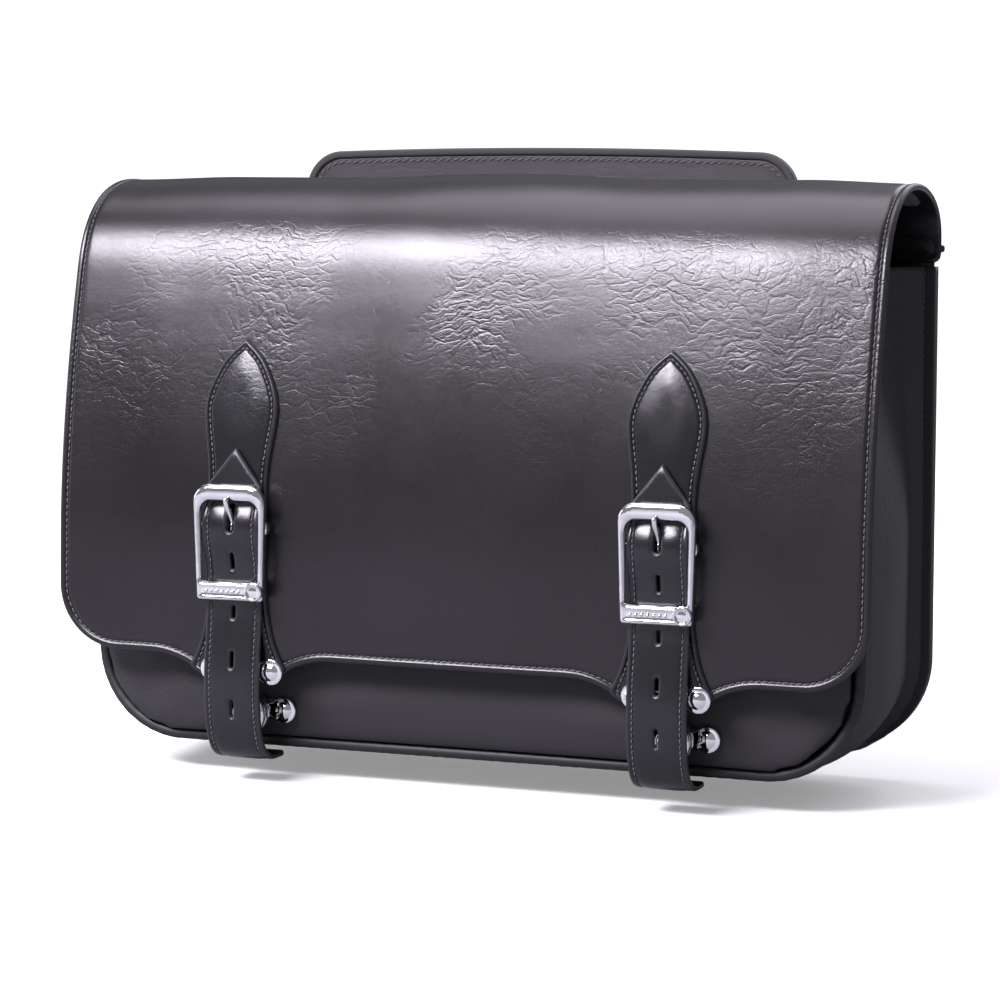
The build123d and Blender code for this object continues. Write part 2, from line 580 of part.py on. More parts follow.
for side, strap_x in SIDES:
    FACE = Plane(origin=(strap_x, 0, -MOUNT_HEIGHT), x_dir=FRONT.x_dir, z_dir=FRONT.z_dir)
    CLASP = Plane(origin=(strap_x + CLASP_SHIFT, 0, -MOUNT_HEIGHT), x_dir=FRONT.x_dir, z_dir=FRONT.z_dir)
    SECTION = side_plane(strap_x)

    with BuildPart() as patch:
        with BuildSketch(SECTION):
            add(flap_layer(FLAP_LEATHER, FLAP_LEATHER + PATCH))
        extrude(amount=PATCH_FLARE, both=True)
        with BuildSketch(FACE.offset(FLAP_CREST_FORWARD)):
            add(patch_outline())
            # window for the chape's loop
            with Locations((0, HEEL_HEIGHT)):
                Rectangle(STRAP_WIDTH - 1, 4 * RING_RADIUS, mode=Mode.SUBTRACT)
            with Locations((CLASP_SHIFT, HASP_HEIGHT)):
                with GridLocations(2 * CLASP_EAR_X, 0, 2, 1):
                    Circle(RIVET_SHANK, mode=Mode.SUBTRACT)
        extrude(amount=FLAP_FRONT, mode=Mode.INTERSECT)
    save(patch, f"{side}_patch")

    with BuildPart() as buckle:
        with BuildSketch(FACE.offset(FRAME_BACK)) as frame_shape:
            with BuildLine():
                foot = BUCKLE_HALF_WIDTH - 1.8
                Polyline((-BUCKLE_HALF_WIDTH, BUCKLE_TOP), (BUCKLE_HALF_WIDTH, BUCKLE_TOP),
                         (foot, BUCKLE_BOTTOM), (-foot, BUCKLE_BOTTOM), close=True)
            make_face()
            fillet(frame_shape.vertices().group_by(Axis.Y)[-1], 9)
            fillet(frame_shape.vertices().group_by(Axis.Y)[0], 1.5)
        extrude(amount=FRAME_FRONT - FRAME_BACK)
        with BuildSketch(FACE.offset(FRAME_BACK)) as window:
            with Locations((0, (KEEPER_TOP + WINDOW_TOP) / 2)):
                Rectangle(2 * (BUCKLE_HALF_WIDTH - BUCKLE_SIDE) - 1, WINDOW_TOP - KEEPER_TOP)
            fillet(window.vertices().group_by(Axis.Y)[-1], 5)
        extrude(amount=FRAME_FRONT, mode=Mode.SUBTRACT)
        fillet(buckle.edges().group_by(Axis.Y)[0], FRAME_ROUNDING)
        # lugs behind the sides carry the heel bar
        with BuildSketch(FACE.offset(HEEL_FORWARD - HEEL_RADIUS)):
            with Locations((0, HEEL_HEIGHT)):
                with GridLocations(2 * BUCKLE_HALF_WIDTH - BUCKLE_SIDE, 0, 2, 1):
                    Rectangle(BUCKLE_SIDE - 1, 5 * HEEL_RADIUS)
        extrude(amount=FRAME_BACK - HEEL_FORWARD + HEEL_RADIUS)
        with BuildSketch(SECTION):
            with Locations((HEEL_FORWARD, HEEL_HEIGHT)):
                Circle(HEEL_RADIUS)
        extrude(amount=BUCKLE_HALF_WIDTH - BUCKLE_SIDE / 2, both=True)
        # keeper bar: sunk panel with a row of beads, and a round boss at its right end
        with BuildSketch(FACE.offset(FRAME_FRONT - 0.6)):
            with Locations((-BOSS_RADIUS / 2 + 0.5, BUCKLE_BOTTOM + KEEPER_HEIGHT / 2)):
                RectangleRounded(2 * foot - BOSS_RADIUS - 4, KEEPER_HEIGHT - 3.4, 1)
        extrude(amount=1, mode=Mode.SUBTRACT)
        with BuildSketch(FACE.offset(FRAME_FRONT - 2)):
            with Locations((foot - BOSS_RADIUS + 0.4, BUCKLE_BOTTOM + KEEPER_HEIGHT / 2 + 0.6)):
                Circle(BOSS_RADIUS)
        extrude(amount=2.6)
        with Locations(FACE.offset(FRAME_FRONT - 0.8)):
            with Locations((-BOSS_RADIUS / 2 - 1.2, BUCKLE_BOTTOM + KEEPER_HEIGHT / 2)):
                with GridLocations(BEAD_PITCH, 0, BEADS, 1):
                    Sphere(BEAD_RADIUS)
    save(buckle, f"{side}_buckle_frame")

    with BuildPart() as prong:
        with BuildSketch(SECTION):
            with Locations((HEEL_FORWARD, HEEL_HEIGHT)):
                Circle(RING_RADIUS)
        extrude(amount=PRONG_RADIUS, both=True)
        with BuildLine(SECTION) as shank:
            Bezier((HEEL_FORWARD + 1.4, HEEL_HEIGHT + 2.0), (FRAME_FRONT + 1.4, WINDOW_TOP - 1.9),
                   (FRAME_FRONT + 2.3, WINDOW_TOP + 0.6), (FRAME_FRONT + 2.2, WINDOW_TOP + 2.6))
        with BuildSketch(Plane(origin=shank.wire() @ 0, z_dir=shank.wire() % 0)):
            Circle(PRONG_RADIUS)
        sweep(path=shank.wire())
        with BuildSketch(SECTION):
            with Locations((HEEL_FORWARD, HEEL_HEIGHT)):
                Circle(HEEL_RADIUS + RUNNING_CLEARANCE)
        extrude(amount=2 * PRONG_RADIUS, both=True, mode=Mode.SUBTRACT)
    save(prong, f"{side}_prong")

    with BuildPart() as chape:
        with BuildSketch(SECTION):
            with Locations((HEEL_FORWARD, HEEL_HEIGHT)):
                Circle(RING_RADIUS)
            with Locations((HEEL_FORWARD - 0.6, HEEL_HEIGHT)):
                Rectangle(1, WINDOW_TOP - HEEL_HEIGHT - 4, align=(Align.CENTER, Align.MIN))
            with Locations((HEEL_FORWARD, HEEL_HEIGHT)):
                Circle(HEEL_RADIUS + RUNNING_CLEARANCE, mode=Mode.SUBTRACT)
        extrude(amount=STRAP_WIDTH / 2 - 2, both=True)
        # gap for the prong
        with BuildSketch(FACE):
            with Locations((0, HEEL_HEIGHT)):
                Rectangle(2 * PRONG_RADIUS + 1, 4 * RING_RADIUS)
        extrude(amount=FRAME_FRONT, mode=Mode.SUBTRACT)
    save(chape, f"{side}_chape")

    with BuildPart() as strap_upper:
        with BuildSketch(SECTION):
            trace(upper_strap_line.wire(), line_width=STRAP)
        extrude(amount=STRAP_WIDTH / 2, both=True)
        with BuildSketch(FACE):
            with BuildLine():
                half = STRAP_WIDTH / 2
                Polyline((-half, 0), (half, 0), (half, STRAP_TIP - STRAP_POINT), (0, STRAP_TIP),
                         (-half, STRAP_TIP - STRAP_POINT), close=True)
            make_face()
            with Locations((0, (PRONG_SLOT_BOTTOM + PRONG_SLOT_TOP) / 2)):
                Rectangle(2 * PRONG_RADIUS + 0.6, PRONG_SLOT_TOP - PRONG_SLOT_BOTTOM, mode=Mode.SUBTRACT)
            with Locations((0, FIRST_SLIT)):
                Rectangle(SLIT_WIDTH, SLIT_LENGTH, mode=Mode.SUBTRACT)
        extrude(amount=FRAME_FRONT + STRAP, mode=Mode.INTERSECT)
    save(strap_upper, f"{side}_strap_upper")

    with BuildPart() as strap_tail:
        with BuildSketch(SECTION):
            trace(tail_strap_line.wire(), line_width=STRAP)
        extrude(amount=STRAP_WIDTH / 2, both=True)
        with BuildSketch(FACE.offset(DISC_FRONT)):
            with Locations(*[(0, FIRST_SLIT - step * SLIT_PITCH) for step in (1, 2, 3)]):
                Rectangle(SLIT_WIDTH, SLIT_LENGTH)
        extrude(amount=4 * STRAP, mode=Mode.SUBTRACT)
    save(strap_tail, f"{side}_strap_tail")

    with BuildPart() as hasp:
        with BuildSketch(CLASP.offset(HASP_BACK)):
            add(clasp_plate(HASP_HEIGHT, 9))
            with Locations((0, HASP_HEIGHT)):
                Rectangle(12, HASP_HEIGHT - CLASP_HEIGHT - DISC_RADIUS + 4, align=(Align.CENTER, Align.MAX))
        extrude(amount=PLATE)
        with BuildSketch(CLASP.offset(DISC_BACK)):
            with Locations((0, CLASP_HEIGHT)):
                Circle(DISC_RADIUS)
        extrude(amount=DISC_FRONT - DISC_BACK)
        with BuildSketch(CLASP.offset(DISC_BACK)):
            with Locations((0, CLASP_HEIGHT)):
                Circle(POCKET_RADIUS)
        extrude(amount=POCKET_FLOOR - DISC_BACK, mode=Mode.SUBTRACT)
        with BuildSketch(CLASP.offset(DISC_FRONT - BUTTON_RECESS)):
            with Locations((0, CLASP_HEIGHT)):
                Circle(BUTTON_RADIUS + 2 * RUNNING_CLEARANCE)
        extrude(amount=2 * PLATE + BUTTON_RECESS, mode=Mode.SUBTRACT)
        with BuildSketch(CLASP.offset(DISC_BACK)):
            with Locations((0, CLASP_HEIGHT)):
                Circle(BUTTON_STEM + RUNNING_CLEARANCE)
            with Locations((-CLASP_EAR_X, HASP_HEIGHT), (CLASP_EAR_X, HASP_HEIGHT)):
                Circle(RIVET_SHANK)
        extrude(amount=4 * STRAP, mode=Mode.SUBTRACT)
    save(hasp, f"{side}_hasp")

    with BuildPart() as button:
        for start, radius, length in (
            (DISC_FRONT - 0.1, BUTTON_RADIUS, 2.5),
            (POCKET_FLOOR - 0.1, BUTTON_STEM, DISC_FRONT - POCKET_FLOOR + 0.1),
            (POCKET_FLOOR - 1.1, BUTTON_STEM + 0.9, 1.0),
        ):
            with BuildSketch(CLASP.offset(start)):
                with Locations((0, CLASP_HEIGHT)):
                    Circle(radius)
            extrude(amount=length)
        fillet(button.edges().group_by(Axis.Y)[0], 1.5)
    save(button, f"{side}_button")

    with BuildPart() as clasp_base:
        with BuildSketch(CLASP.offset(BASE_BACK)):
            add(clasp_plate(CLASP_HEIGHT, 9))
            with Locations((0, CLASP_HEIGHT)):
                Circle(POST_RADIUS + 1)
            with Locations((-CLASP_EAR_X, CLASP_HEIGHT), (CLASP_EAR_X, CLASP_HEIGHT)):
                Circle(RIVET_SHANK, mode=Mode.SUBTRACT)
        extrude(amount=PLATE)
        with BuildSketch(CLASP.offset(BASE_BACK)):
            with Locations((0, CLASP_HEIGHT)):
                Circle(POST_RADIUS)
        extrude(amount=POST_END - BASE_BACK)
        fillet(clasp_base.edges().group_by(Axis.Y)[0], 1)
    save(clasp_base, f"{side}_clasp_base")
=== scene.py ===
import bpy
import bmesh
import math
import numpy as np
from types import SimpleNamespace
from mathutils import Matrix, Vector
from mathutils.bvhtree import BVHTree
from mathutils.geometry import delaunay_2d_cdt


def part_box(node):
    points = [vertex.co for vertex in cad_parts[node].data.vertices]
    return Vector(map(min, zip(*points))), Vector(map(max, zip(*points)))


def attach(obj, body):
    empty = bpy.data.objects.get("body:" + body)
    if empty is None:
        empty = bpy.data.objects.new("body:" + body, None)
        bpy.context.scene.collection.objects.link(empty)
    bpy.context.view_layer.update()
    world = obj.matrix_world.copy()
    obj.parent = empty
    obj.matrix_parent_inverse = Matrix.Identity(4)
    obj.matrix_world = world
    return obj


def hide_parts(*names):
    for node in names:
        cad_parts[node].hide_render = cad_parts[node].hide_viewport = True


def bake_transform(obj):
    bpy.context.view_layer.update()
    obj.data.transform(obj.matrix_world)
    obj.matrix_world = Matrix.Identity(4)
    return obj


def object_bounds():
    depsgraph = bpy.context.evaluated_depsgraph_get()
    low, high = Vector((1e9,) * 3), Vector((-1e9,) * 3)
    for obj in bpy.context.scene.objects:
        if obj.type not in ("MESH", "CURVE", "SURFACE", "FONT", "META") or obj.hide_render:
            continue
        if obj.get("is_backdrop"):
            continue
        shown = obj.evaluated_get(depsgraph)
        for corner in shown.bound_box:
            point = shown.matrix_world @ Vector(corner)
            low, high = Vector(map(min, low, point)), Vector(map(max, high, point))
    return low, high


# Motorcycle saddlebag: leather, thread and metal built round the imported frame.
# Lengths are in millimetres in the frame's own axes, and are scaled to metres as each mesh is made.

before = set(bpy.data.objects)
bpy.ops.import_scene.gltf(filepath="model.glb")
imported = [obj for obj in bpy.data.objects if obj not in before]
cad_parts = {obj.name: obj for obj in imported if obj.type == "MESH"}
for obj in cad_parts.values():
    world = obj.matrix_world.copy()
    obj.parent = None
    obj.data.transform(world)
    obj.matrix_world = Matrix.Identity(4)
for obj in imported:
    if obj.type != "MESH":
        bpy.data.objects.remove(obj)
cad_low, cad_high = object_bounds()
MM = 0.001
SIDES = ("left", "right")
HEM, PATCH_SEAM, STRAP_SEAM = 4.0, 3.2, 3.1
rng = np.random.default_rng(11)


# ------------------------------------------------------------------ reading the frame
def box(name):
    low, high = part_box(name)
    return np.array(low) / MM, np.array(high) / MM


def tree(*names):
    verts, faces = [], []
    for name in names:
        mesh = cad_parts[name].data
        first = len(verts)
        verts += [v.co / MM for v in mesh.vertices]
        faces += [[first + i for i in p.vertices] for p in mesh.polygons]
    return BVHTree.FromPolygons(verts, faces)


def cast(bvh, start, direction):
    hit = bvh.ray_cast(Vector(start), Vector(direction))[0]
    return None if hit is None else np.array(hit)


class Profile:
    """A side-view curve (y, z) followed by distance, with its normal on the left of the path."""

    def __init__(self, points, smooth=0):
        points = np.array(points, float)
        length = np.r_[0, np.cumsum(np.hypot(*np.diff(points, axis=0).T))]
        self.length = length[-1]
        self.s = np.linspace(0, self.length, int(self.length / 0.5) + 2)
        self.p = np.stack([np.interp(self.s, length, points[:, k]) for k in (0, 1)], 1)
        for _ in range(smooth):
            self.p[1:-1] = (self.p[:-2] + 2 * self.p[1:-1] + self.p[2:]) / 4
        tangent = np.gradient(self.p, axis=0)
        for _ in range(6):
            tangent[1:-1] = (tangent[:-2] + tangent[1:-1] + tangent[2:]) / 3
        tangent /= np.linalg.norm(tangent, axis=1)[:, None]
        self.t = tangent

    def at(self, s, offset=0.0):
        s = np.asarray(s, float)
        y, z, ty, tz = [np.interp(s, self.s, a) for a in (*self.p.T, *self.t.T)]
        # beyond the ends the curve runs on straight
        over = np.maximum(s - self.length, 0) + np.minimum(s, 0)
        return y + over * ty + offset * tz, z + over * tz - offset * ty

    def find(self, z, front=True):
        """Distance along to height z on the front (falling) or rear (rising) half."""
        half = self.s > self.length / 2 if front else self.s < self.length / 2
        where = np.flatnonzero(half)
        return self.s[where[np.argmin(abs(self.p[where, 1] - z))]]


TRACE_RAYS = 700


def trace_profile(bvh, x, centre, first, last):
    """Outer side profile of some nodes at x, by rays aimed at a centre, between two angles."""
    found = []
    for angle in np.radians(np.linspace(first, last, TRACE_RAYS)):
        out = np.array((0, -math.cos(angle), math.sin(angle)))
        hit = cast(bvh, np.array((x, *centre)) + out * 400, -out)
        if hit is not None:
            found.append((angle, np.hypot(*(hit[1:] - centre)), hit[1], hit[2]))
    found = np.array(found)
    reach = found[:, 1]
    near = np.array([np.median(reach[max(0, i - 6):i + 7]) for i in range(len(reach))])
    return found[abs(reach - near) < 0.7][:, 2:]


# ------------------------------------------------------------------ outlines
def fillet_path(points, radii, step=2.0, closed=True):
    """A polyline with rounded corners, sampled evenly, keeping sharp corners where radius is 0."""
    points = [np.array(p, float) for p in points]
    count = len(points)
    out = []
    for i, p in enumerate(points):
        r = radii[i]
        if not closed and i in (0, count - 1):
            out.append([p])
            continue
        a, b = points[i - 1] - p, points[(i + 1) % count] - p
        la, lb = np.linalg.norm(a), np.linalg.norm(b)
        a, b = a / la, b / lb
        if r <= 0:
            out.append([p])
            continue
        half = math.acos(np.clip(a @ b, -1, 1)) / 2
        reach = r / math.tan(half)
        mid = (a + b) / np.linalg.norm(a + b)
        centre = p + mid * r / math.sin(half)
        start, end = p + a * reach, p + b * reach
        a0 = math.atan2(*(start - centre)[::-1])
        sweep = math.atan2(*(end - centre)[::-1]) - a0
        sweep = (sweep + math.pi) % (2 * math.pi) - math.pi
        steps = max(3, int(abs(sweep) * r / step) + 1, int(abs(sweep) / 0.3))
        angles = a0 + sweep * np.linspace(0, 1, steps + 1)
        out.append([centre + r * np.array((math.cos(t), math.sin(t))) for t in angles])
    path = []
    for i, arc in enumerate(out):
        path += arc
        if not closed and i == len(out) - 1:
            break
        start, end = arc[-1], out[(i + 1) % len(out)][0]
        pieces = int(np.linalg.norm(end - start) / step)
        path += [start + (end - start) * k / pieces for k in range(1, pieces)]
    return np.array(path)


def spline(points, step=2.0):
    """A smooth open curve through points (Catmull-Rom), sampled about evenly."""
    p = np.array(points, float)
    p = np.vstack([2 * p[0] - p[1], p, 2 * p[-1] - p[-2]])
    out = []
    for i in range(1, len(p) - 2):
        count = max(3, int(np.linalg.norm(p[i + 1] - p[i]) / step))
        t = np.linspace(0, 1, count, endpoint=False)[:, None]
        out.append(0.5 * (2 * p[i] + (p[i + 1] - p[i - 1]) * t
                          + (2 * p[i - 1] - 5 * p[i] + 4 * p[i + 1] - p[i + 2]) * t ** 2
                          + (3 * p[i] - p[i - 1] - 3 * p[i + 1] + p[i + 2]) * t ** 3))
    return np.vstack(out + [p[-2:-1]])


def mirror(path):
    """A closed outline from its right half, which runs from the top middle to the bottom middle."""
    left = path[::-1] * (-1, 1)
    return np.vstack([path, left[1:-1]])


def turn(count):
    return np.linspace(0, 2 * math.pi, count, endpoint=False)


def circle(centre, radius, count=24):
    a = turn(count)
    return np.array(centre) + radius * np.stack([np.cos(a), np.sin(a)], 1)


def area(path):
    x, y = path.T
    return 0.5 * np.sum(x * np.roll(y, -1) - np.roll(x, -1) * y)


def distance(points, loops):
    """Distance from each point to the nearest of some closed loops."""
    starts = np.vstack(loops)
    ends = np.vstack([np.roll(loop, -1, 0) for loop in loops])
    run = ends - starts
    size = np.maximum((run ** 2).sum(1), 1e-12)
    out = np.empty(len(points))
    for i in range(0, len(points), 2000):
        rel = points[i:i + 2000, None] - starts
        t = np.clip((rel * run).sum(2) / size, 0, 1)
        out[i:i + 2000] = np.sqrt(((rel - t[..., None] * run) ** 2).sum(2).min(1))
    return out


def inside(points, loop):
    """Whether each point is inside a closed loop."""
    x, y = points.T
    result = np.zeros(len(points), bool)
    for (x0, y0), (x1, y1) in zip(loop, np.roll(loop, -1, 0)):
        if y0 != y1:
            crosses = (y0 > y) != (y1 > y)
            result ^= crosses & (x < x0 + (y - y0) * (x1 - x0) / (y1 - y0))
    return result


def ring(loop, gap, others=()):
    """The loop moved inwards by gap, without the points that fold over themselves."""
    sign = 1 if area(loop) > 0 else -1
    step = np.roll(loop, -1, 0) - np.roll(loop, 1, 0)
    step /= np.linalg.norm(step, axis=1)[:, None] + 1e-12
    after = np.roll(loop, -1, 0) - loop
    after /= np.linalg.norm(after, axis=1)[:, None] + 1e-12
    normal = sign * np.stack([-step[:, 1], step[:, 0]], 1)
    edge_normal = sign * np.stack([-after[:, 1], after[:, 0]], 1)
    spread = np.clip((normal * edge_normal).sum(1), 0.35, 1)
    moved = loop + normal * (gap / spread)[:, None]
    clear = distance(moved, [loop, *others]) > gap * 0.985 - 0.01
    return moved[clear]


def seam_line(loop, inset):
    """A closed line of sewing at a distance inside an outline."""
    line = ring(loop, inset)
    return np.vstack([line, line[:1]])


# ------------------------------------------------------------------ meshes
def new_object(name, verts, faces, material, edge=None):
    mesh = bpy.data.meshes.new(name)
    mesh.from_pydata((np.asarray(verts, float) * MM).tolist(), [], [list(map(int, f)) for f in faces])
    mesh.validate()
    mesh.update()
    mesh.polygons.foreach_set("use_smooth", [True] * len(mesh.polygons))
    if edge is not None:
        mesh.attributes.new("edge", "FLOAT", "POINT").data.foreach_set("value",
                                                                       np.asarray(edge, np.float32))
    obj = bpy.data.objects.new(name, mesh)
    bpy.context.scene.collection.objects.link(obj)
    mesh.materials.append(material)
    return obj


def triangulate(loops, free):
    """Triangles of the area inside the first loop and outside the others."""
    points = np.vstack([*loops, free]) if len(free) else np.vstack(loops)
    edges, first = [], 0
    for loop in loops:
        count = len(loop)
        edges += [(first + i, first + (i + 1) % count) for i in range(count)]
        first += count
    _, _, faces, origin, _, _ = delaunay_2d_cdt([Vector(p) for p in points], edges, [], 0, 1e-7, True)
    ids = np.array([o[0] if o else -1 for o in origin])
    faces = ids[np.array(faces)]
    middle = points[faces].mean(1)
    keep = inside(middle, loops[0]) & (faces >= 0).all(1)
    for loop in loops[1:]:
        keep &= ~inside(middle, loop)
    return points, faces[keep]


def surface_points(loops, rings, spacing):
    """Free points for one face of a sheet: rings along every loop and a grid between them."""
    free = []
    for gap in rings:
        for i, loop in enumerate(loops):
            if i == 0:
                moved = ring(loop, gap, loops[1:])
            else:
                # a hole's rings lie outside it
                step = np.roll(loop, -1, 0) - np.roll(loop, 1, 0)
                step /= np.linalg.norm(step, axis=1)[:, None] + 1e-12
                side = 1 if area(loop) > 0 else -1
                moved = loop + side * gap * np.stack([step[:, 1], -step[:, 0]], 1)
                clear = distance(moved, loops) > gap * 0.985 - 0.01
                moved = moved[clear & inside(moved, loops[0])]
            if len(moved):
                free.append(moved)
    low, high = loops[0].min(0), loops[0].max(0)
    gx = np.arange(low[0] + spacing / 2, high[0], spacing)
    gy = np.arange(low[1] + spacing / 2, high[1], spacing)
    grid = np.stack(np.meshgrid(gx, gy), -1)
    grid[::2, :, 0] += spacing / 2
    grid = grid.reshape(-1, 2)
    reach = (rings[-1] if len(rings) else 0) + spacing * 0.55
    grid = grid[inside(grid, loops[0])]
    for hole in loops[1:]:
        grid = grid[~inside(grid, hole)]
    if len(grid):
        grid = grid[distance(grid, loops) > reach]
    free.append(grid)
    free = np.vstack(free)
    # drop points that nearly coincide
    _, first = np.unique(np.round(free / 0.12).astype(int), axis=0, return_index=True)
    return free[np.sort(first)]


def sheet(name, loops, lift, front, back, material, rings=(0.3, 0.8, 1.5, 2.6, 3.3, 3.8, 4.3, 5.0, 7.0),
          spacing=5.0, back_rings=(0.3, 0.8, 1.5), back_spacing=9.0):
    """A thick piece of leather or plate. Front and back give its two surfaces' height from the
    distance to the nearest edge and from (u, v), and lift bends (u, v, height) into space."""
    loops = [np.array(loop, float) for loop in loops]
    edge_count = sum(len(loop) for loop in loops)
    a_points, a_faces = triangulate(loops, surface_points(loops, rings, spacing))
    b_points, b_faces = triangulate(loops, surface_points(loops, back_rings, back_spacing))
    a_edge = distance(a_points, loops)
    b_edge = distance(b_points, loops)
    a_edge[:edge_count] = 0
    b_edge[:edge_count] = 0
    a_height = front(a_edge, *a_points.T)
    b_height = back(b_edge, *b_points.T)
    top = lift(*a_points.T, a_height)
    low = lift(*b_points.T, b_height)[edge_count:]
    shared = np.arange(len(b_points))
    shared[edge_count:] += len(a_points) - edge_count
    verts = np.vstack([top, low])
    faces = list(a_faces) + [f[::-1] for f in shared[b_faces]]
    obj = new_object(name, verts, faces, material, edge=np.r_[a_edge, b_edge[edge_count:] + 20])
    return face_out(obj)


def upright(y, at=0.0, height=0.0, side=-1):
    """A lift for a flat sheet that faces the front (side -1) or the rear (side 1)."""
    return lambda u, v, n: np.stack([u + at, y + side * n, v + height], 1)


def slab(half, radius):
    """The two faces of a plate of twice this thickness with rounded edges."""
    return (lambda e, u, v: half + half * rounding(e, radius)), (lambda e, u,
                                                                 v: half - half * rounding(e, radius))


def face_out(obj):
    bm = bmesh.new()
    bm.from_mesh(obj.data)
    bmesh.ops.recalc_face_normals(bm, faces=bm.faces)
    bm.to_mesh(obj.data)
    bm.free()
    return obj


def rounding(edge, radius):
    """How far a rounded edge has risen towards its full height, from 0 to 1."""
    t = np.clip(edge / radius, 0, 1)
    return np.sqrt(np.clip(1 - (1 - t) ** 2, 0, 1))


def groove(edge, place, width, depth):
    return -depth * np.exp(-((edge - place) / width) ** 2)


def smoothstep(t):
    t = np.clip(t, 0, 1)
    return t * t * (3 - 2 * t)


def grid_object(name, rows, material, closed_u=False, closed_v=False, caps=False):
    """A mesh from a grid of points, rows by columns."""
    rows = np.asarray(rows, float)
    r, c = rows.shape[:2]
    faces = []
    for i in range(r if closed_u else r - 1):
        for j in range(c if closed_v else c - 1):
            faces.append((i * c + j, i * c + (j + 1) % c, (i + 1) % r * c + (j + 1) % c,
                          (i + 1) % r * c + j))
    if caps:
        faces.append(tuple(range(c))[::-1])
        faces.append(tuple((r - 1) * c + j for j in range(c)))
    return face_out(new_object(name, rows.reshape(-1, 3), faces, material))


def join(name, objects):
    """Several meshes of one material made into one object."""
    verts, faces, first = [], [], 0
    for o in objects:
        co = np.array([v.co for v in o.data.vertices], float) / MM
        verts.append(co)
        faces += [[first + i for i in p.vertices] for p in o.data.polygons]
        first += len(co)
    material = objects[0].data.materials[0]
    for o in objects:
        mesh = o.data
        bpy.data.objects.remove(o)
        bpy.data.meshes.remove(mesh)
    return new_object(name, np.vstack(verts), faces, material)


def frames_along(path, closed=False, up=(0, 0, 1)):
    """Tangent, side and normal at each point of a path, with the normal kept near a direction."""
    path = np.asarray(path, float)
    tangent = (np.roll(path, -1, 0) - np.roll(path, 1, 0)) if closed else np.gradient(path, axis=0)
    tangent /= np.linalg.norm(tangent, axis=1)[:, None] + 1e-12
    up = np.broadcast_to(np.asarray(up, float), path.shape)
    side = np.cross(tangent, up)
    side /= np.linalg.norm(side, axis=1)[:, None] + 1e-12
    return tangent, side, np.cross(side, tangent)


def sweep(name, path, section, material, closed=False, up=(0, 0, 1), scale=None):
    """A closed section (side, normal) swept along a path."""
    path = np.asarray(path, float)
    _, side, normal = frames_along(path, closed, up)
    section = np.asarray(section, float)
    scale = np.ones(len(path)) if scale is None else np.asarray(scale)
    rows = (path[:, None] + scale[:, None, None] * (section[None, :, :1] * side[:, None]
                                                    + section[None, :, 1:] * normal[:, None]))
    return grid_object(name, rows, material, closed_u=closed, closed_v=True, caps=not closed)


def lathe(name, centre, stations, material, count=48):
    """Turned about the forward axis: stations are (radius, forward) pairs from front to back."""
    a = turn(count)
    rows = [[(centre[0] + r * math.cos(t), -d, centre[1] + r * math.sin(t)) for t in a] for r,
            d in stations]
    return grid_object(name, rows, material, closed_v=True, caps=True)


def stitches(name, lines, lift, heights, material, pitch=3.3, length=2.5, radius=0.36, slant=0.0):
    """Sewing thread along lines of (u, v). Each stitch is a short arched strand that dives at its ends."""
    verts, faces = [], []
    sides = turn(6)
    along = np.array((-0.5, -0.36, -0.12, 0.12, 0.36, 0.5))
    rise = np.array((-1.0, 0.15, 0.55, 0.55, 0.15, -1.0)) * radius
    girth = np.array((0.55, 0.95, 1.0, 1.0, 0.95, 0.55)) * radius
    for line, height in zip(lines, heights):
        line = np.asarray(line, float)
        run = np.r_[0, np.cumsum(np.hypot(*np.diff(line, axis=0).T))]
        count = int(run[-1] / pitch)
        if count < 1:
            continue
        middle = (np.arange(count) + 0.5) * run[-1] / count
        s = middle[:, None] + along * length
        u, v = [np.interp(s, run, line[:, k]) for k in (0, 1)]
        du, dv = np.gradient(u, axis=1), np.gradient(v, axis=1)
        size = np.hypot(du, dv) + 1e-9
        lean = slant * along * length
        u, v = u - dv / size * lean, v + du / size * lean
        spine = lift(u.ravel(), v.ravel(), (height + rise + np.zeros_like(u)).ravel()).reshape(count, 6, 3)
        above = lift(u.ravel(), v.ravel(), (height + rise + 1 + np.zeros_like(u)).ravel()).reshape(count,
                                                                                                   6, 3)
        normal = above - spine
        tangent = np.gradient(spine, axis=1)
        tangent /= np.linalg.norm(tangent, axis=2)[..., None] + 1e-12
        side = np.cross(tangent, normal)
        side /= np.linalg.norm(side, axis=2)[..., None] + 1e-12
        normal = np.cross(side, tangent)
        rings_ = spine[:, :, None] + girth[None, :, None, None] * (
            np.cos(sides)[None, None, :, None] * side[:, :, None]
            + np.sin(sides)[None, None, :, None] * normal[:, :, None])
        first = sum(len(b) for b in verts)
        verts.append(rings_.reshape(-1, 3))
        for k in range(count):
            base = first + k * 36
            for i in range(5):
                for j in range(6):
                    faces.append((base + i * 6 + j, base + i * 6 + (j + 1) % 6,
                                  base + (i + 1) * 6 + (j + 1) % 6, base + (i + 1) * 6 + j))
            faces.append(tuple(base + j for j in range(5, -1, -1)))
            faces.append(tuple(base + 30 + j for j in range(6)))
    return new_object(name, np.vstack(verts), faces, material)


